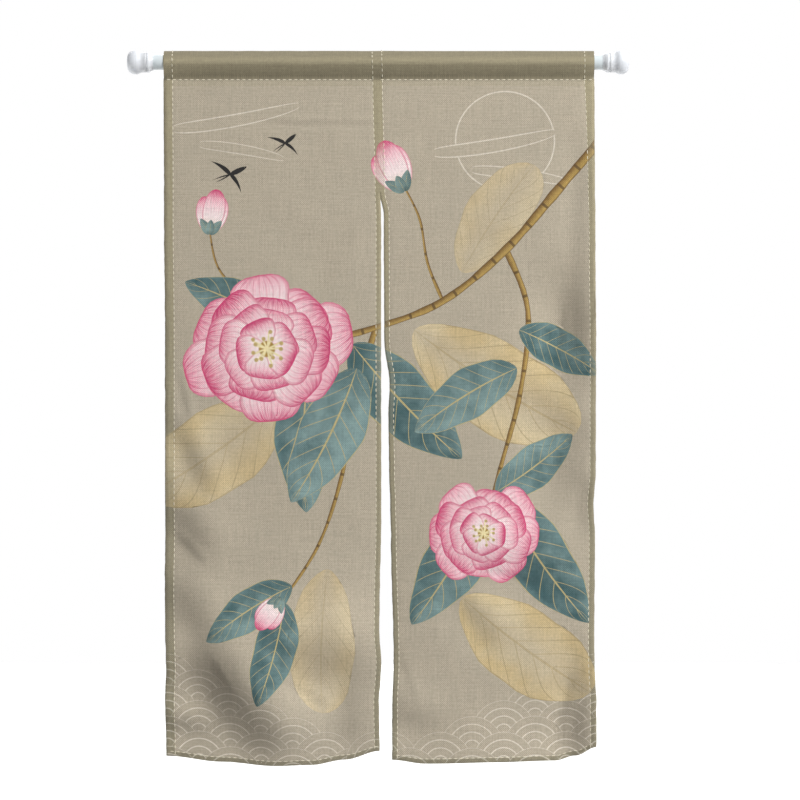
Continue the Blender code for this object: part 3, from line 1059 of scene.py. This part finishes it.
def foot_stations():
    """The foot: a flat face with a wide round edge, a thick rim with a fine parting line, a waist, a sleeve
    with a bead, and the socket."""
    rim, sleeve, line_depth, bead_height, corner = 0.0255, 0.0214, 0.0003, 0.0003, 0.0008
    mouth, mouth_bevel, bottom = TUBE_RADIUS + FIT, 0.0006, FOOT_LENGTH - 0.014
    return [
        Station(0.0, 0.0),
        Station(0.0, 0.0050),
        *rounded(0.0, 0.0100, 0.0165, rim, 12),
        Station(0.0176, rim),
        Station(0.0179, rim - line_depth),
        Station(0.0182, rim - line_depth / 3),
        *taper(0.0186, rim - line_depth / 3, 0.0310, sleeve, 10),
        Station(0.0368, sleeve),
        Station(0.0371, sleeve + bead_height * 2 / 3),
        Station(0.0380, sleeve + bead_height),
        Station(0.0389, sleeve + bead_height * 2 / 3),
        Station(0.0392, sleeve),
        *rounded(FOOT_LENGTH - corner, sleeve, FOOT_LENGTH, sleeve - corner, 3, False),
        Station(FOOT_LENGTH, mouth + mouth_bevel),
        Station(FOOT_LENGTH - mouth_bevel, mouth),
        Station(bottom, mouth),
        Station(bottom, 0.0040),
        Station(bottom, 0.0),
    ]


def collar_stations():
    """The collar: a wide round-edged flange, a short taper, and the bore on the tube."""
    start, end, bore = FOOT_LENGTH + FIT, COLLAR_END, TUBE_RADIUS + FIT
    flange, root, tip, edge, back_edge = 0.0216, 0.0203, 0.0172, 0.0006, 0.0010
    shoulder = start + 0.0055
    return [
        Station(start, bore),
        Station(start, flange - edge),
        *rounded(start, flange - edge, start + edge, flange, 3),
        *rounded(shoulder - back_edge, flange, shoulder, flange - back_edge, 3, False),
        *taper(shoulder + 0.0002, root, end - 0.0008, tip, 6),
        *rounded(end - edge, tip, end, tip - 0.0004, 3, False),
        Station(end, bore),
        Station(start, bore),
    ]


def tube_stations():
    """The tube, with its ends rolled in a little."""
    start, end = TUBE_START, ROD_LENGTH - TUBE_START
    inside, lip = TUBE_RADIUS - TUBE_WALL, 0.0004
    return [
        Station(start, inside),
        Station(start, TUBE_RADIUS - lip),
        Station(start + lip, TUBE_RADIUS),
        Station(0.08, TUBE_RADIUS),
        Station(ROD_LENGTH / 2, TUBE_RADIUS),
        Station(ROD_LENGTH - 0.08, TUBE_RADIUS),
        Station(end - lip, TUBE_RADIUS),
        Station(end, TUBE_RADIUS - lip),
        Station(end, inside),
        Station(start, inside),
    ]


# Materials


class Value:
    """A node's output. A sign between it and a number or another value adds a math node."""

    def __init__(self, nodes, socket):
        self.nodes, self.socket = nodes, socket

    def __add__(self, other):
        return self.nodes.math("ADD", self, other)

    def __sub__(self, other):
        return self.nodes.math("SUBTRACT", self, other)

    def __mul__(self, other):
        return self.nodes.math("MULTIPLY", self, other)

    def __abs__(self):
        return self.nodes.math("ABSOLUTE", self)


class Nodes:
    """A node tree, filled by short calls that return values."""

    def __init__(self, tree):
        self.tree = tree

    def put(self, socket, value):
        """Links a value to a socket, or sets the socket's own number or opaque colour."""
        if isinstance(value, Value):
            self.tree.links.new(value.socket, socket)
        elif socket.type == "RGBA":
            socket.default_value = (*value, 1.0)
        else:
            socket.default_value = value

    def add(self, kind, inputs, **settings):
        """The values that a new node gives."""
        made = self.tree.nodes.new("ShaderNode" + kind)
        for key, value in settings.items():
            setattr(made, key, value)
        for key, value in inputs.items():
            self.put(made.inputs[key], value)
        return {output.identifier: Value(self, output) for output in made.outputs}

    def first(self, kind, inputs, **settings):
        """The first of the values that a new node gives."""
        return next(iter(self.add(kind, inputs, **settings).values()))

    def math(self, operation, first, second=0.0):
        return self.first("Math", {0: first, 1: second}, operation=operation)

    def most(self, first, *others):
        for other in others:
            first = self.math("MAXIMUM", first, other)
        return first

    def between(self, value, low, high, start=0.0, end=1.0):
        """Eases from start to end as value goes from low to high."""
        inputs = {0: value, 1: low, 2: high, 3: start, 4: end}
        return self.first("MapRange", inputs, interpolation_type="SMOOTHSTEP")

    def mix(self, share, first, second, blend="MIX"):
        inputs = {0: share, 6: first, 7: second}
        return self.add("Mix", inputs, data_type="RGBA", blend_type=blend)["Result_Color"]

    def noise(self, place, scale, detail):
        return self.first("TexNoise", {"Vector": place, "Scale": scale, "Detail": detail})

    def scaled(self, place, *scale):
        return self.first("Mapping", {"Vector": place, "Scale": scale})

    def split(self, place):
        return tuple(self.add("SeparateXYZ", {0: place}).values())

    def object_place(self):
        return self.add("TexCoord", {})["Object"]

    def uv_place(self, name):
        return self.first("UVMap", {}, uv_map=name)

    def bump(self, height, distance, strength):
        return self.first("Bump", {"Height": height, "Distance": distance, "Strength": strength})


class Surface(Nodes):
    """A new material and its shader, with the values given."""

    def __init__(self, name, **values):
        self.material = bpy.data.materials.new(name)
        self.material.use_nodes = True
        super().__init__(self.material.node_tree)
        self.shade(**values)

    def shade(self, **values):
        """Sets or links the shader's inputs."""
        shader = self.tree.nodes["Principled BSDF"]
        for key, value in values.items():
            self.put(shader.inputs[key.replace("_", " ")], value)


def translucent(weight, reach):
    """Shader values of a milky finish that lets light spread this far through it."""
    alike = (1.0, 1.0, 1.0)  # for red, green and blue
    return {"Subsurface_Weight": weight, "Subsurface_Scale": reach, "Subsurface_Radius": alike}


def weave_group(thread_pitch):
    """A node group of plain weave: threads over and under each other, some thicker than others. Its tone is
    partly painted shade, lighter where the threads cross over and darker in the hollows between them.
    """
    tree = bpy.data.node_groups.new("plain_weave", "ShaderNodeTree")
    tree.interface.new_socket("Place", in_out="INPUT", socket_type="NodeSocketVector")
    tree.interface.new_socket("Height", in_out="OUTPUT", socket_type="NodeSocketFloat")
    tree.interface.new_socket("Tone", in_out="OUTPUT", socket_type="NodeSocketFloat")
    nodes = Nodes(tree)
    place = Value(nodes, tree.nodes.new("NodeGroupInput").outputs[0])
    across, along, _ = nodes.split(place)
    turn = math.pi / thread_pitch
    crossing = nodes.math("SINE", across * turn) * nodes.math("SINE", along * turn)
    pillow = nodes.math("POWER", abs(crossing), 0.5)
    upright_slub = nodes.noise(nodes.scaled(place, 1.0, 0.035, 1.0), 420.0, 1.0)
    level_slub = nodes.noise(nodes.scaled(place, 0.035, 1.0, 1.0), 420.0, 1.0)
    slub = upright_slub + level_slub
    grain = nodes.noise(place, 190.0, 3.0)
    out = tree.nodes.new("NodeGroupOutput")
    nodes.put(out.inputs[0], pillow + slub * 0.8)
    # Tone: the slubs and grain are the yarn's own, and the crossing and pillow terms are painted shade of
    # the threads' relief
    nodes.put(out.inputs[1], slub * 0.28 + 0.397 + crossing * 0.26 + pillow * 0.20 + grain * 0.42)
    return tree


class ClothSurface(Surface):
    """Cloth of plain weave, with the nodes that all of its prints share."""

    def __init__(self, name, settings, weave):
        super().__init__(
            name, Roughness=0.88, Sheen_Weight=0.12, Sheen_Roughness=0.6, Specular_IOR_Level=0.2
        )
        self.settings = settings
        self.cloth, self.motif_place = self.uv_place("cloth"), self.uv_place("motif")
        self.along, self.across, _ = self.split(self.motif_place)
        self.side = abs(self.across)
        self.weave_height, self.weave_tone_and_shade = self.add("Group", {0: self.cloth}, node_tree=weave).values()
        self.mottle = self.noise(self.cloth, 9.0, 3.0)
        self.height = self.split(self.object_place())[2]

    def share(self, name):
        """A number that each face holds."""
        return self.add("Attribute", {}, attribute_type="GEOMETRY", attribute_name=name)["Fac"]

    def ground(self):
        """The cloth's own colour, with painted shade where a hem doubles it, as less light comes through
        two layers, and more of it towards the bottom.
        """
        settings = self.settings
        plain = self.mix(self.mottle, settings.ground, settings.ground_warm)
        # Painted shade on doubled cloth, darker towards the bottom
        doubled = self.mix(self.between(self.height, -1.4, -0.1), settings.hem_shade_foot, settings.hem)
        return self.mix(self.share("hem"), plain, doubled)

    def pocket_shade(self):
        """Painted shade on the pocket: darkest just above its seam, where it turns under the rod, lighter
        up its front, darker again over its top, and reaching a little below the seam's stitches.
        """
        settings, height = self.settings, self.height
        lower = self.between(height, -0.030, -0.006, settings.pocket_seam_shade, settings.pocket_upper_shade)
        turned = lower * self.between(height, 0.0, 0.014, 1.0, 0.68)
        return self.between(height, -POCKET_STITCHES - 0.0020, -POCKET_STITCHES - 0.0002, 1.0, turned)

    def stripes(self, value, half_width, soft):
        """A mask of thin lines where value passes a whole number."""
        off = abs(self.math("FRACT", value) - 0.5)
        return self.between(off, 0.5 - half_width - soft, 0.5 - half_width)


def cloth_material(name, settings, weave, paint):
    """Cloth printed by paint, which returns the ink's colour and how well it covers."""
    nodes = ClothSurface(name, settings, weave)
    colour = nodes.ground()
    if paint:
        ink, cover = paint(nodes, settings)
        # Painted shade: the print on a hem a little darker, towards the hem's colour
        doubled = nodes.mix(nodes.share("hem") * 0.35, ink, settings.hem)
        through = nodes.between(nodes.share("back"), 0.0, 1.0, 1.0, settings.print_through)
        colour = nodes.mix(through * cover, colour, doubled)
    # The weave's tone, partly painted shade, times the pocket's painted shade
    tone = nodes.weave_tone_and_shade * nodes.pocket_shade()
    nodes.shade(
        Base_Color=nodes.mix(1.0, colour, tone, "MULTIPLY"),
        Normal=nodes.bump(nodes.weave_height, 0.00035, 0.8),
    )
    return nodes.material


def paint_wave(nodes, settings):
    """Thin cream rings."""
    rings = nodes.stripes(nodes.along * 3.98, 0.06, 0.03)
    return settings.wave, rings * nodes.share("tone") * 0.85


def paint_ghost(nodes, settings):
    """A pale leaf washed in from its edge, with fine darker veins."""
    side = nodes.side
    veins = nodes.stripes(nodes.along * 7.0 - side * 2.2, 0.025, 0.02)
    middle = nodes.between(side, 0.02, 0.045, 1.0, 0.0)
    lines = nodes.most(veins, middle, nodes.between(side, 0.955, 0.975))
    wash = nodes.mix(nodes.between(nodes.mottle, 0.35, 0.65), settings.ghost, settings.ghost_pale)
    strength = nodes.most(nodes.between(side, 0.0, 0.9, 0.45, 0.95), lines * 0.8)
    return nodes.mix(lines * 0.55, wash, settings.ghost_vein), strength * nodes.share("tone")


def paint_wood(nodes, settings):
    """A branch: golden where it is lit, brown at its edges, with small dark scars."""
    bark = nodes.noise(nodes.cloth, 130.0, 3.0)
    lit = nodes.between(nodes.across + bark * 0.9, -0.4, 1.0)
    edge = nodes.between(nodes.side, 0.62, 0.95)
    scars = nodes.stripes(nodes.along * 19.0, 0.04, 0.03)
    body = nodes.mix(lit, settings.bark, settings.bark_gold)
    return nodes.mix(nodes.most(edge * 0.75, scars * 0.8), body, settings.bark_dark), 0.96


def paint_leaf(nodes, settings):
    """A leaf in uneven teal washes, with golden midrib, side veins and edge."""
    along, side = nodes.along, nodes.side
    bloomed = nodes.noise(nodes.cloth, 24.0, 4.0)
    depth = bloomed * 0.9 + nodes.share("tone") * 0.55 + nodes.across * 0.16
    wash = nodes.mix(nodes.between(depth, 0.35, 1.15), settings.leaf_dark, settings.leaf_pale)
    wash = nodes.mix(nodes.between(side, 0.7, 1.0, 0.0, 0.45), wash, settings.leaf_edge)
    wash = nodes.mix(nodes.between(along, 0.0, 0.3, 0.55, 0.0), wash, settings.leaf_dark)
    veins = nodes.stripes(along * 9.0 - side * 1.7, 0.018, 0.022)
    veins = veins * nodes.between(side, 0.75, 0.98, 0.8, 0.2)
    middle = nodes.between(side, 0.018, 0.040, 1.0, 0.0)
    lines = nodes.most(veins, middle, nodes.between(side, 0.955, 0.980) * 0.9)
    return nodes.mix(lines, wash, settings.gold_line), 0.97


def paint_petal(nodes, settings):
    """A petal: pale in its body, deep at its tip and edges, with fine veins."""
    along = nodes.along
    streaks = nodes.noise(nodes.scaled(nodes.motif_place, 0.18, 1.0, 1.0), 26.0, 2.0)
    uneven = along + (streaks - 0.5) * 0.55 + nodes.share("tone") * 0.22
    body = nodes.mix(nodes.between(uneven, 0.50, 1.06), settings.petal_pale, settings.petal_pink)
    body = nodes.mix(nodes.between(uneven, 0.86, 1.14), body, settings.petal_deep)
    body = nodes.mix(nodes.between(along, 0.02, 0.42, 0.75, 0.0), body, settings.petal_base)
    veins = nodes.stripes(nodes.across * 4.5, 0.05, 0.09) * nodes.between(along, 0.25, 0.9, 0.10, 0.30)
    body = nodes.mix(veins, body, settings.petal_deep)
    rim = nodes.most(nodes.between(nodes.side, 0.86, 0.99), nodes.between(along, 0.955, 0.995))
    return nodes.mix(rim * 0.68, body, settings.petal_deep), 0.97


def paint_ink(nodes, settings):
    """Brush strokes of ink, drier towards their ends."""
    dry = nodes.noise(nodes.cloth, 300.0, 2.0)
    return settings.ink, nodes.between(dry - nodes.along * 0.35, 0.0, 0.14, 0.5, 0.97)


def paint_gold(nodes, settings):
    """Stamens and their dusty tips."""
    tone = nodes.between(nodes.share("tone"), 0.2, 0.9)
    return nodes.mix(tone, settings.pollen, settings.stamen), 0.96


# In the order of the kinds of face
CLOTH_PAINTS = {
    "plain_cloth": None,
    "wave_print": paint_wave,
    "pale_leaf_print": paint_ghost,
    "branch_print": paint_wood,
    "teal_leaf_print": paint_leaf,
    "petal_print": paint_petal,
    "ink_print": paint_ink,
    "stamen_print": paint_gold,
}


def thread_material(settings):
    """Matt cream thread of fine twisted strands."""
    nodes = Surface("cream_thread", Roughness=0.75, Sheen_Weight=0.2, Specular_IOR_Level=0.3)
    strands = nodes.noise(nodes.object_place(), 1400.0, 1.0)
    nodes.shade(
        Base_Color=nodes.mix(strands, settings.thread, settings.thread_shade),
        Normal=nodes.bump(strands, 0.0002, 0.6),
    )
    return nodes.material


def enamel_material(settings):
    """Smooth white enamel, faintly uneven like orange peel, with a few rubbed marks."""
    nodes = Surface("white_enamel", Roughness=0.28, Coat_Weight=0.4, Coat_Roughness=0.12)
    place = nodes.object_place()
    rubbed = nodes.noise(nodes.scaled(place, 0.5, 1.0, 1.0), 60.0, 4.0)
    nodes.shade(
        Base_Color=nodes.mix(nodes.between(rubbed, 0.55, 0.8), settings.enamel, settings.enamel_worn),
        Roughness=nodes.between(rubbed, 0.3, 0.8, 0.24, 0.40),
        Normal=nodes.bump(nodes.noise(place, 900.0, 1.0), 0.00008, 0.5),
    )
    return nodes.material


def rubber_material(settings):
    """Soft white rubber, satin, slightly see-through and faintly cloudy."""
    nodes = Surface("soft_rubber", Roughness=0.5, **translucent(0.5, 0.012))
    place = nodes.object_place()
    cloud = nodes.noise(place, 55.0, 3.0)
    nodes.shade(
        Base_Color=nodes.mix(nodes.between(cloud, 0.35, 0.75), settings.rubber, settings.rubber_shade),
        Roughness=nodes.between(cloud, 0.3, 0.7, 0.42, 0.58),
        Normal=nodes.bump(nodes.noise(place, 1300.0, 2.0), 0.00012, 0.5),
    )
    return nodes.material


def plastic_material(settings):
    """Glossy white moulded plastic with a faint flow in it."""
    gloss = {"Roughness": 0.22, "Coat_Weight": 0.25, "Coat_Roughness": 0.08}
    nodes = Surface("gloss_plastic", **gloss, **translucent(0.4, 0.008))
    flow = nodes.noise(nodes.scaled(nodes.object_place(), 3.0, 1.0, 1.0), 80.0, 2.0)
    nodes.shade(
        Base_Color=nodes.mix(nodes.between(flow, 0.4, 0.7), settings.plastic, settings.plastic_shade),
        Roughness=nodes.between(flow, 0.3, 0.7, 0.18, 0.30),
    )
    return nodes.material


# Settings


def number_of(name, description, default, **more):
    return FloatProperty(name=name, description=description, default=default, min=0.0, **more)


def share_of(name, description, default):
    return number_of(name, description, default, max=1.0, subtype="FACTOR")


def length_of(name, description, default):
    return number_of(name, description, default, precision=4, unit="LENGTH")


def power_of(name, description, default):
    return number_of(name, description, default, subtype="POWER")


def colour_of(name, description, default):
    limits = {"min": 0.0, "max": 1.0, "size": 3, "subtype": "COLOR"}
    return FloatVectorProperty(name=name, description=description, default=default, **limits)


class CurtainClothSettings(bpy.types.PropertyGroup):
    thread_pitch: length_of("Thread pitch", "Distance between neighbouring threads of the weave", 0.0022)
    print_through: share_of("Print through", "How much of the print shows on the back", 0.3)
    ground: colour_of("Ground", "Colour of the plain cloth", (0.455, 0.402, 0.312))
    ground_warm: colour_of("Warm ground", "Plain cloth where it is warmer", (0.475, 0.412, 0.315))
    # Painted shade: doubled cloth lets less light through, and is darker still near the foot
    hem: colour_of("Hem", "Colour of doubled cloth", (0.372, 0.326, 0.214))
    hem_shade_foot: colour_of("Hem at the foot", "Doubled cloth near the floor", (0.300, 0.268, 0.185))
    # Painted shade on the pocket: its tone at the seam and higher up
    pocket_seam_shade: share_of("Pocket shade", "Tone of the pocket at its seam", 0.79)
    pocket_upper_shade: share_of("Pocket tone", "Tone of the pocket higher up", 0.96)
    wave: colour_of("Waves", "Colour of the wave rings", (0.780, 0.720, 0.620))
    ghost: colour_of("Pale leaf", "Colour of the pale leaves", (0.615, 0.468, 0.232))
    ghost_pale: colour_of("Paler leaf", "Lightest wash of the pale leaves", (0.680, 0.560, 0.340))
    ghost_vein: colour_of("Pale leaf vein", "Lines on the pale leaves", (0.330, 0.240, 0.110))
    bark: colour_of("Bark", "Shaded side of the branches", (0.200, 0.110, 0.030))
    bark_gold: colour_of("Golden bark", "Lit side of the branches", (0.440, 0.290, 0.080))
    bark_dark: colour_of("Dark bark", "Edges and scars of the branches", (0.100, 0.055, 0.020))
    leaf_dark: colour_of("Dark leaf", "Deepest wash of the leaves", (0.045, 0.110, 0.120))
    leaf_pale: colour_of("Light leaf", "Lightest wash of the leaves", (0.250, 0.370, 0.360))
    leaf_edge: colour_of("Leaf edge", "Wash at the edges of the leaves", (0.150, 0.260, 0.270))
    gold_line: colour_of("Gold line", "Veins and edges of the leaves", (0.520, 0.430, 0.200))
    petal_pale: colour_of("Pale petal", "Body of the petals", (0.930, 0.790, 0.780))
    petal_pink: colour_of("Pink petal", "Outer part of the petals", (0.870, 0.460, 0.540))
    petal_deep: colour_of("Deep petal", "Tips, edges and veins of the petals", (0.610, 0.030, 0.150))
    petal_base: colour_of("Petal base", "Foot of the petals", (0.780, 0.640, 0.420))
    ink: colour_of("Ink", "Colour of the birds", (0.012, 0.012, 0.014))
    pollen: colour_of("Pollen", "Tips of the stamens", (0.430, 0.260, 0.050))
    stamen: colour_of("Stamen", "Stems of the stamens", (0.850, 0.740, 0.420))


class CurtainStitchSettings(bpy.types.PropertyGroup):
    length: length_of("Length", "Length of one stitch", 0.0078)
    pitch: length_of("Pitch", "Distance from stitch to stitch", 0.0121)
    thickness: length_of("Thickness", "Thickness of the thread", 0.0019)
    thread: colour_of("Thread", "Colour of the thread", (0.800, 0.745, 0.590))
    thread_shade: colour_of("Thread shade", "Between the thread's strands", (0.680, 0.625, 0.480))


class CurtainRodSettings(bpy.types.PropertyGroup):
    enamel: colour_of("Enamel", "Colour of the tube", (0.680, 0.740, 0.760))
    enamel_worn: colour_of("Rubbed enamel", "The tube where it is rubbed", (0.640, 0.690, 0.720))
    rubber: colour_of("Rubber", "Colour of the feet", (0.740, 0.760, 0.790))
    rubber_shade: colour_of("Rubber shade", "The feet where they are cloudy", (0.700, 0.725, 0.760))
    plastic: colour_of("Plastic", "Colour of the collars", (0.860, 0.890, 0.930))
    plastic_shade: colour_of("Plastic shade", "The collars' flow marks", (0.800, 0.830, 0.880))


class CurtainStageSettings(bpy.types.PropertyGroup):
    width_in_view: length_of("Width in view", "Width that the camera takes in at the curtain", 1.674)
    centre_x: length_of("Centre X", "Where the camera looks along the rod", 0.5703)
    centre_drop: length_of("Centre drop", "How far below the rod the camera looks", 0.7068)
    lens: number_of("Lens", "Focal length in millimetres", 120.0)
    floor_drop: length_of("Floor drop", "How far the floor lies below the rod", 2.0)
    key_power: power_of("Key power", "Power of the main light", 1390.0)
    back_power: power_of("Back power", "Power of the light behind", 300.0)
    left_power: power_of("Left spot", "Power of the spot on the left foot", 28.0)
    right_power: power_of("Right spot", "Power of the spot on the right foot", 15.0)
    ceiling: number_of("Ceiling light", "Strength of the light from above", 0.3)
    front: number_of("Front light", "Strength of the light from before", 0.04)


# Stage. Each light's place is given from what it is aimed at

KEY_OFFSET = Vector((5.4, -6.6, 5.8))
KEY_SIZE = 2.5
BACK_OFFSET = Vector((0, 0, 4.2))
BACK_SIZE = 5.0
BACK_DEPTH = 5.1  # where the light behind meets the floor
SPOT_INSET = 0.02  # from a foot's face to where its spot is aimed
LEFT_SPOT_OFFSET = Vector((-0.85, -0.15, -0.50))
RIGHT_SPOT_OFFSET = Vector((-0.15, -0.30, -0.94))
SPOT = {"spot_size": math.radians(9.0), "spot_blend": 1.0, "shadow_soft_size": 0.06}
FLOOR_SIZE = 8.0
FLOOR_DEPTH = 3.5  # of its centre
FLOOR_SHADES = (0.80, 0.80, 0.80), (0.84, 0.84, 0.84)


def add_floor(settings):
    place = (settings.centre_x, FLOOR_DEPTH, -settings.floor_drop)
    bpy.ops.mesh.primitive_grid_add(x_subdivisions=8, y_subdivisions=8, size=FLOOR_SIZE, location=place)
    floor = bpy.context.object
    floor.name = "floor"
    nodes = Surface("pale_floor", Roughness=0.9)
    speckle = nodes.noise(nodes.object_place(), 40.0, 2.0)
    nodes.shade(Base_Color=nodes.mix(speckle, *FLOOR_SHADES))
    floor.data.materials.append(nodes.material)


def light_surroundings(scene, settings):
    """Pale surroundings, which light the curtain most from behind and overhead."""
    scene.world = bpy.data.worlds.new("pale_room")
    scene.world.use_nodes = True
    nodes = Nodes(scene.world.node_tree)
    _, depth, height = nodes.split(nodes.add("TexCoord", {})["Generated"])
    walls = nodes.between(depth, 0.15, 0.55, settings.front, 1.0)
    overhead = nodes.between(height, 0.55, 0.8, 0.0, settings.ceiling)
    seen = nodes.add("LightPath", {})["Is Camera Ray"]
    background = nodes.tree.nodes["Background"]
    nodes.put(background.inputs["Color"], (1.0, 1.0, 1.0))
    nodes.put(background.inputs["Strength"], nodes.most(walls, overhead, seen))


def add_light(kind, name, target, offset, power, **values):
    """A light that points at its target."""
    data = bpy.data.lights.new(name, kind)
    data.energy = power
    for key, value in values.items():
        setattr(data, key, value)
    lamp = new_object(name, data)
    lamp.location = place = target + offset
    lamp.rotation_euler = (target - place).to_track_quat("-Z", "Y").to_euler()


def add_camera(scene, settings, middle):
    data = bpy.data.cameras.new("camera")
    data.lens = settings.lens
    distance = settings.width_in_view * settings.lens / data.sensor_width
    camera = new_object("camera", data)
    camera.location = middle - Vector((0, distance, 0))
    camera.rotation_euler = (math.pi / 2, 0, 0)
    scene.camera = camera


# Operators


def fit_piece(made, material, solid):
    """Gives a piece of the rod its finish, in place of its solid."""
    made.data.materials.append(material)
    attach(made, "root")
    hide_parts(solid)


def fit_both_ends(look, part, stations, material):
    """The same turned piece at both ends of the rod, the right one mirrored."""
    for side, mirrored in (("left", False), ("right", True)):
        made = turned_piece(f"{side}_{look}_{part}", stations, mirrored)
        fit_piece(made, material, f"{side}_{part}")


class CURTAIN_OT_stage(bpy.types.Operator):
    """Sets out the floor, the pale surroundings, the lights and the camera"""

    bl_idname = "curtain.stage"
    bl_label = "Stage"

    def execute(self, context):
        scene, settings = context.scene, context.scene.curtain_stage
        scene.view_settings.view_transform = "Standard"
        add_floor(settings)
        light_surroundings(scene, settings)
        middle = Vector((settings.centre_x, 0, -settings.centre_drop))
        floor_behind = Vector((settings.centre_x, BACK_DEPTH, -settings.floor_drop))
        add_light("AREA", "key_light", middle, KEY_OFFSET, settings.key_power, size=KEY_SIZE)
        behind = (floor_behind, BACK_OFFSET, settings.back_power)
        add_light("AREA", "background_light", *behind, size=BACK_SIZE)
        left_foot, right_foot = Vector((SPOT_INSET, 0, 0)), Vector((ROD_LENGTH - SPOT_INSET, 0, 0))
        add_light("SPOT", "left_spot", left_foot, LEFT_SPOT_OFFSET, settings.left_power, **SPOT)
        add_light("SPOT", "right_spot", right_foot, RIGHT_SPOT_OFFSET, settings.right_power, **SPOT)
        add_camera(scene, settings, middle)
        return {"FINISHED"}


class CURTAIN_OT_cloth(bpy.types.Operator):
    """Makes the two printed cloth panels and their running stitches"""

    bl_idname = "curtain.cloth"
    bl_label = "Cloth and stitches"

    def execute(self, context):
        motifs = print_motifs()
        settings, stitches = context.scene.curtain_cloth, context.scene.curtain_stitches
        weave = weave_group(settings.thread_pitch)
        materials = [cloth_material(name, settings, weave, paint) for name, paint in CLOTH_PAINTS.items()]
        thread = thread_material(stitches)
        template = stitch_template(stitches)
        for panel in PANELS:
            side = panel.name.split("_")[0]
            cloth = ClothMesh(panel, motifs).finish(side + "_cloth", materials)
            places = []
            for rear in (False, True):
                for line, spots in enumerate(seams(panel, rear)):
                    places += stitch_places(spots, stitches.pitch, LINE_START + LINE_SHIFT * line)
            sewn = copies(side + "_stitches", template, places)
            sewn.data.materials.append(thread)
            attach(cloth, "root")
            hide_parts(panel.name)
            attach(sewn, "root")
        bpy.data.objects.remove(template)
        return {"FINISHED"}


class CURTAIN_OT_rod(bpy.types.Operator):
    """Makes the enamelled tube that the cloth hangs on"""

    bl_idname = "curtain.rod"
    bl_label = "Rod tube"

    def execute(self, context):
        tube = turned_piece("enamelled_tube", tube_stations(), False)
        fit_piece(tube, enamel_material(context.scene.curtain_rod), "rod_tube")
        return {"FINISHED"}


class CURTAIN_OT_feet(bpy.types.Operator):
    """Makes the soft foot at each end of the rod"""

    bl_idname = "curtain.feet"
    bl_label = "Feet"

    def execute(self, context):
        fit_both_ends("soft", "foot", foot_stations(), rubber_material(context.scene.curtain_rod))
        return {"FINISHED"}


class CURTAIN_OT_collars(bpy.types.Operator):
    """Makes the stiff collar between each foot and the tube"""

    bl_idname = "curtain.collars"
    bl_label = "Collars"

    def execute(self, context):
        fit_both_ends("stiff", "collar", collar_stations(), plastic_material(context.scene.curtain_rod))
        return {"FINISHED"}


class CURTAIN_PT_pieces(bpy.types.Panel):
    """Lists the curtain's settings and pieces"""

    bl_label = "Doorway Curtain"
    bl_idname = "CURTAIN_PT_pieces"
    bl_space_type = "VIEW_3D"
    bl_region_type = "UI"
    bl_category = "Curtain"

    def draw(self, context):
        for group in SETTINGS:
            settings = getattr(context.scene, group)
            box = self.layout.box()
            for name in settings.bl_rna.properties.keys():
                if name not in ("rna_type", "name"):
                    box.prop(settings, name)
        for operator in OPERATORS:
            self.layout.operator(operator.bl_idname)


SETTINGS = {
    "curtain_stage": CurtainStageSettings,
    "curtain_cloth": CurtainClothSettings,
    "curtain_stitches": CurtainStitchSettings,
    "curtain_rod": CurtainRodSettings,
}
OPERATORS = (CURTAIN_OT_stage, CURTAIN_OT_cloth, CURTAIN_OT_rod, CURTAIN_OT_feet, CURTAIN_OT_collars)
CLASSES = (*SETTINGS.values(), *OPERATORS, CURTAIN_PT_pieces)


def register():
    for cls in CLASSES:
        bpy.utils.register_class(cls)
    for name, settings in SETTINGS.items():
        setattr(bpy.types.Scene, name, PointerProperty(type=settings))


def unregister():
    for name in SETTINGS:
        delattr(bpy.types.Scene, name)
    for cls in reversed(CLASSES):
        bpy.utils.unregister_class(cls)


def main():
    register()
    bpy.ops.curtain.stage()
    bpy.ops.curtain.cloth()
    bpy.ops.curtain.rod()
    bpy.ops.curtain.feet()
    bpy.ops.curtain.collars()


if __name__ == "__main__":
    main()
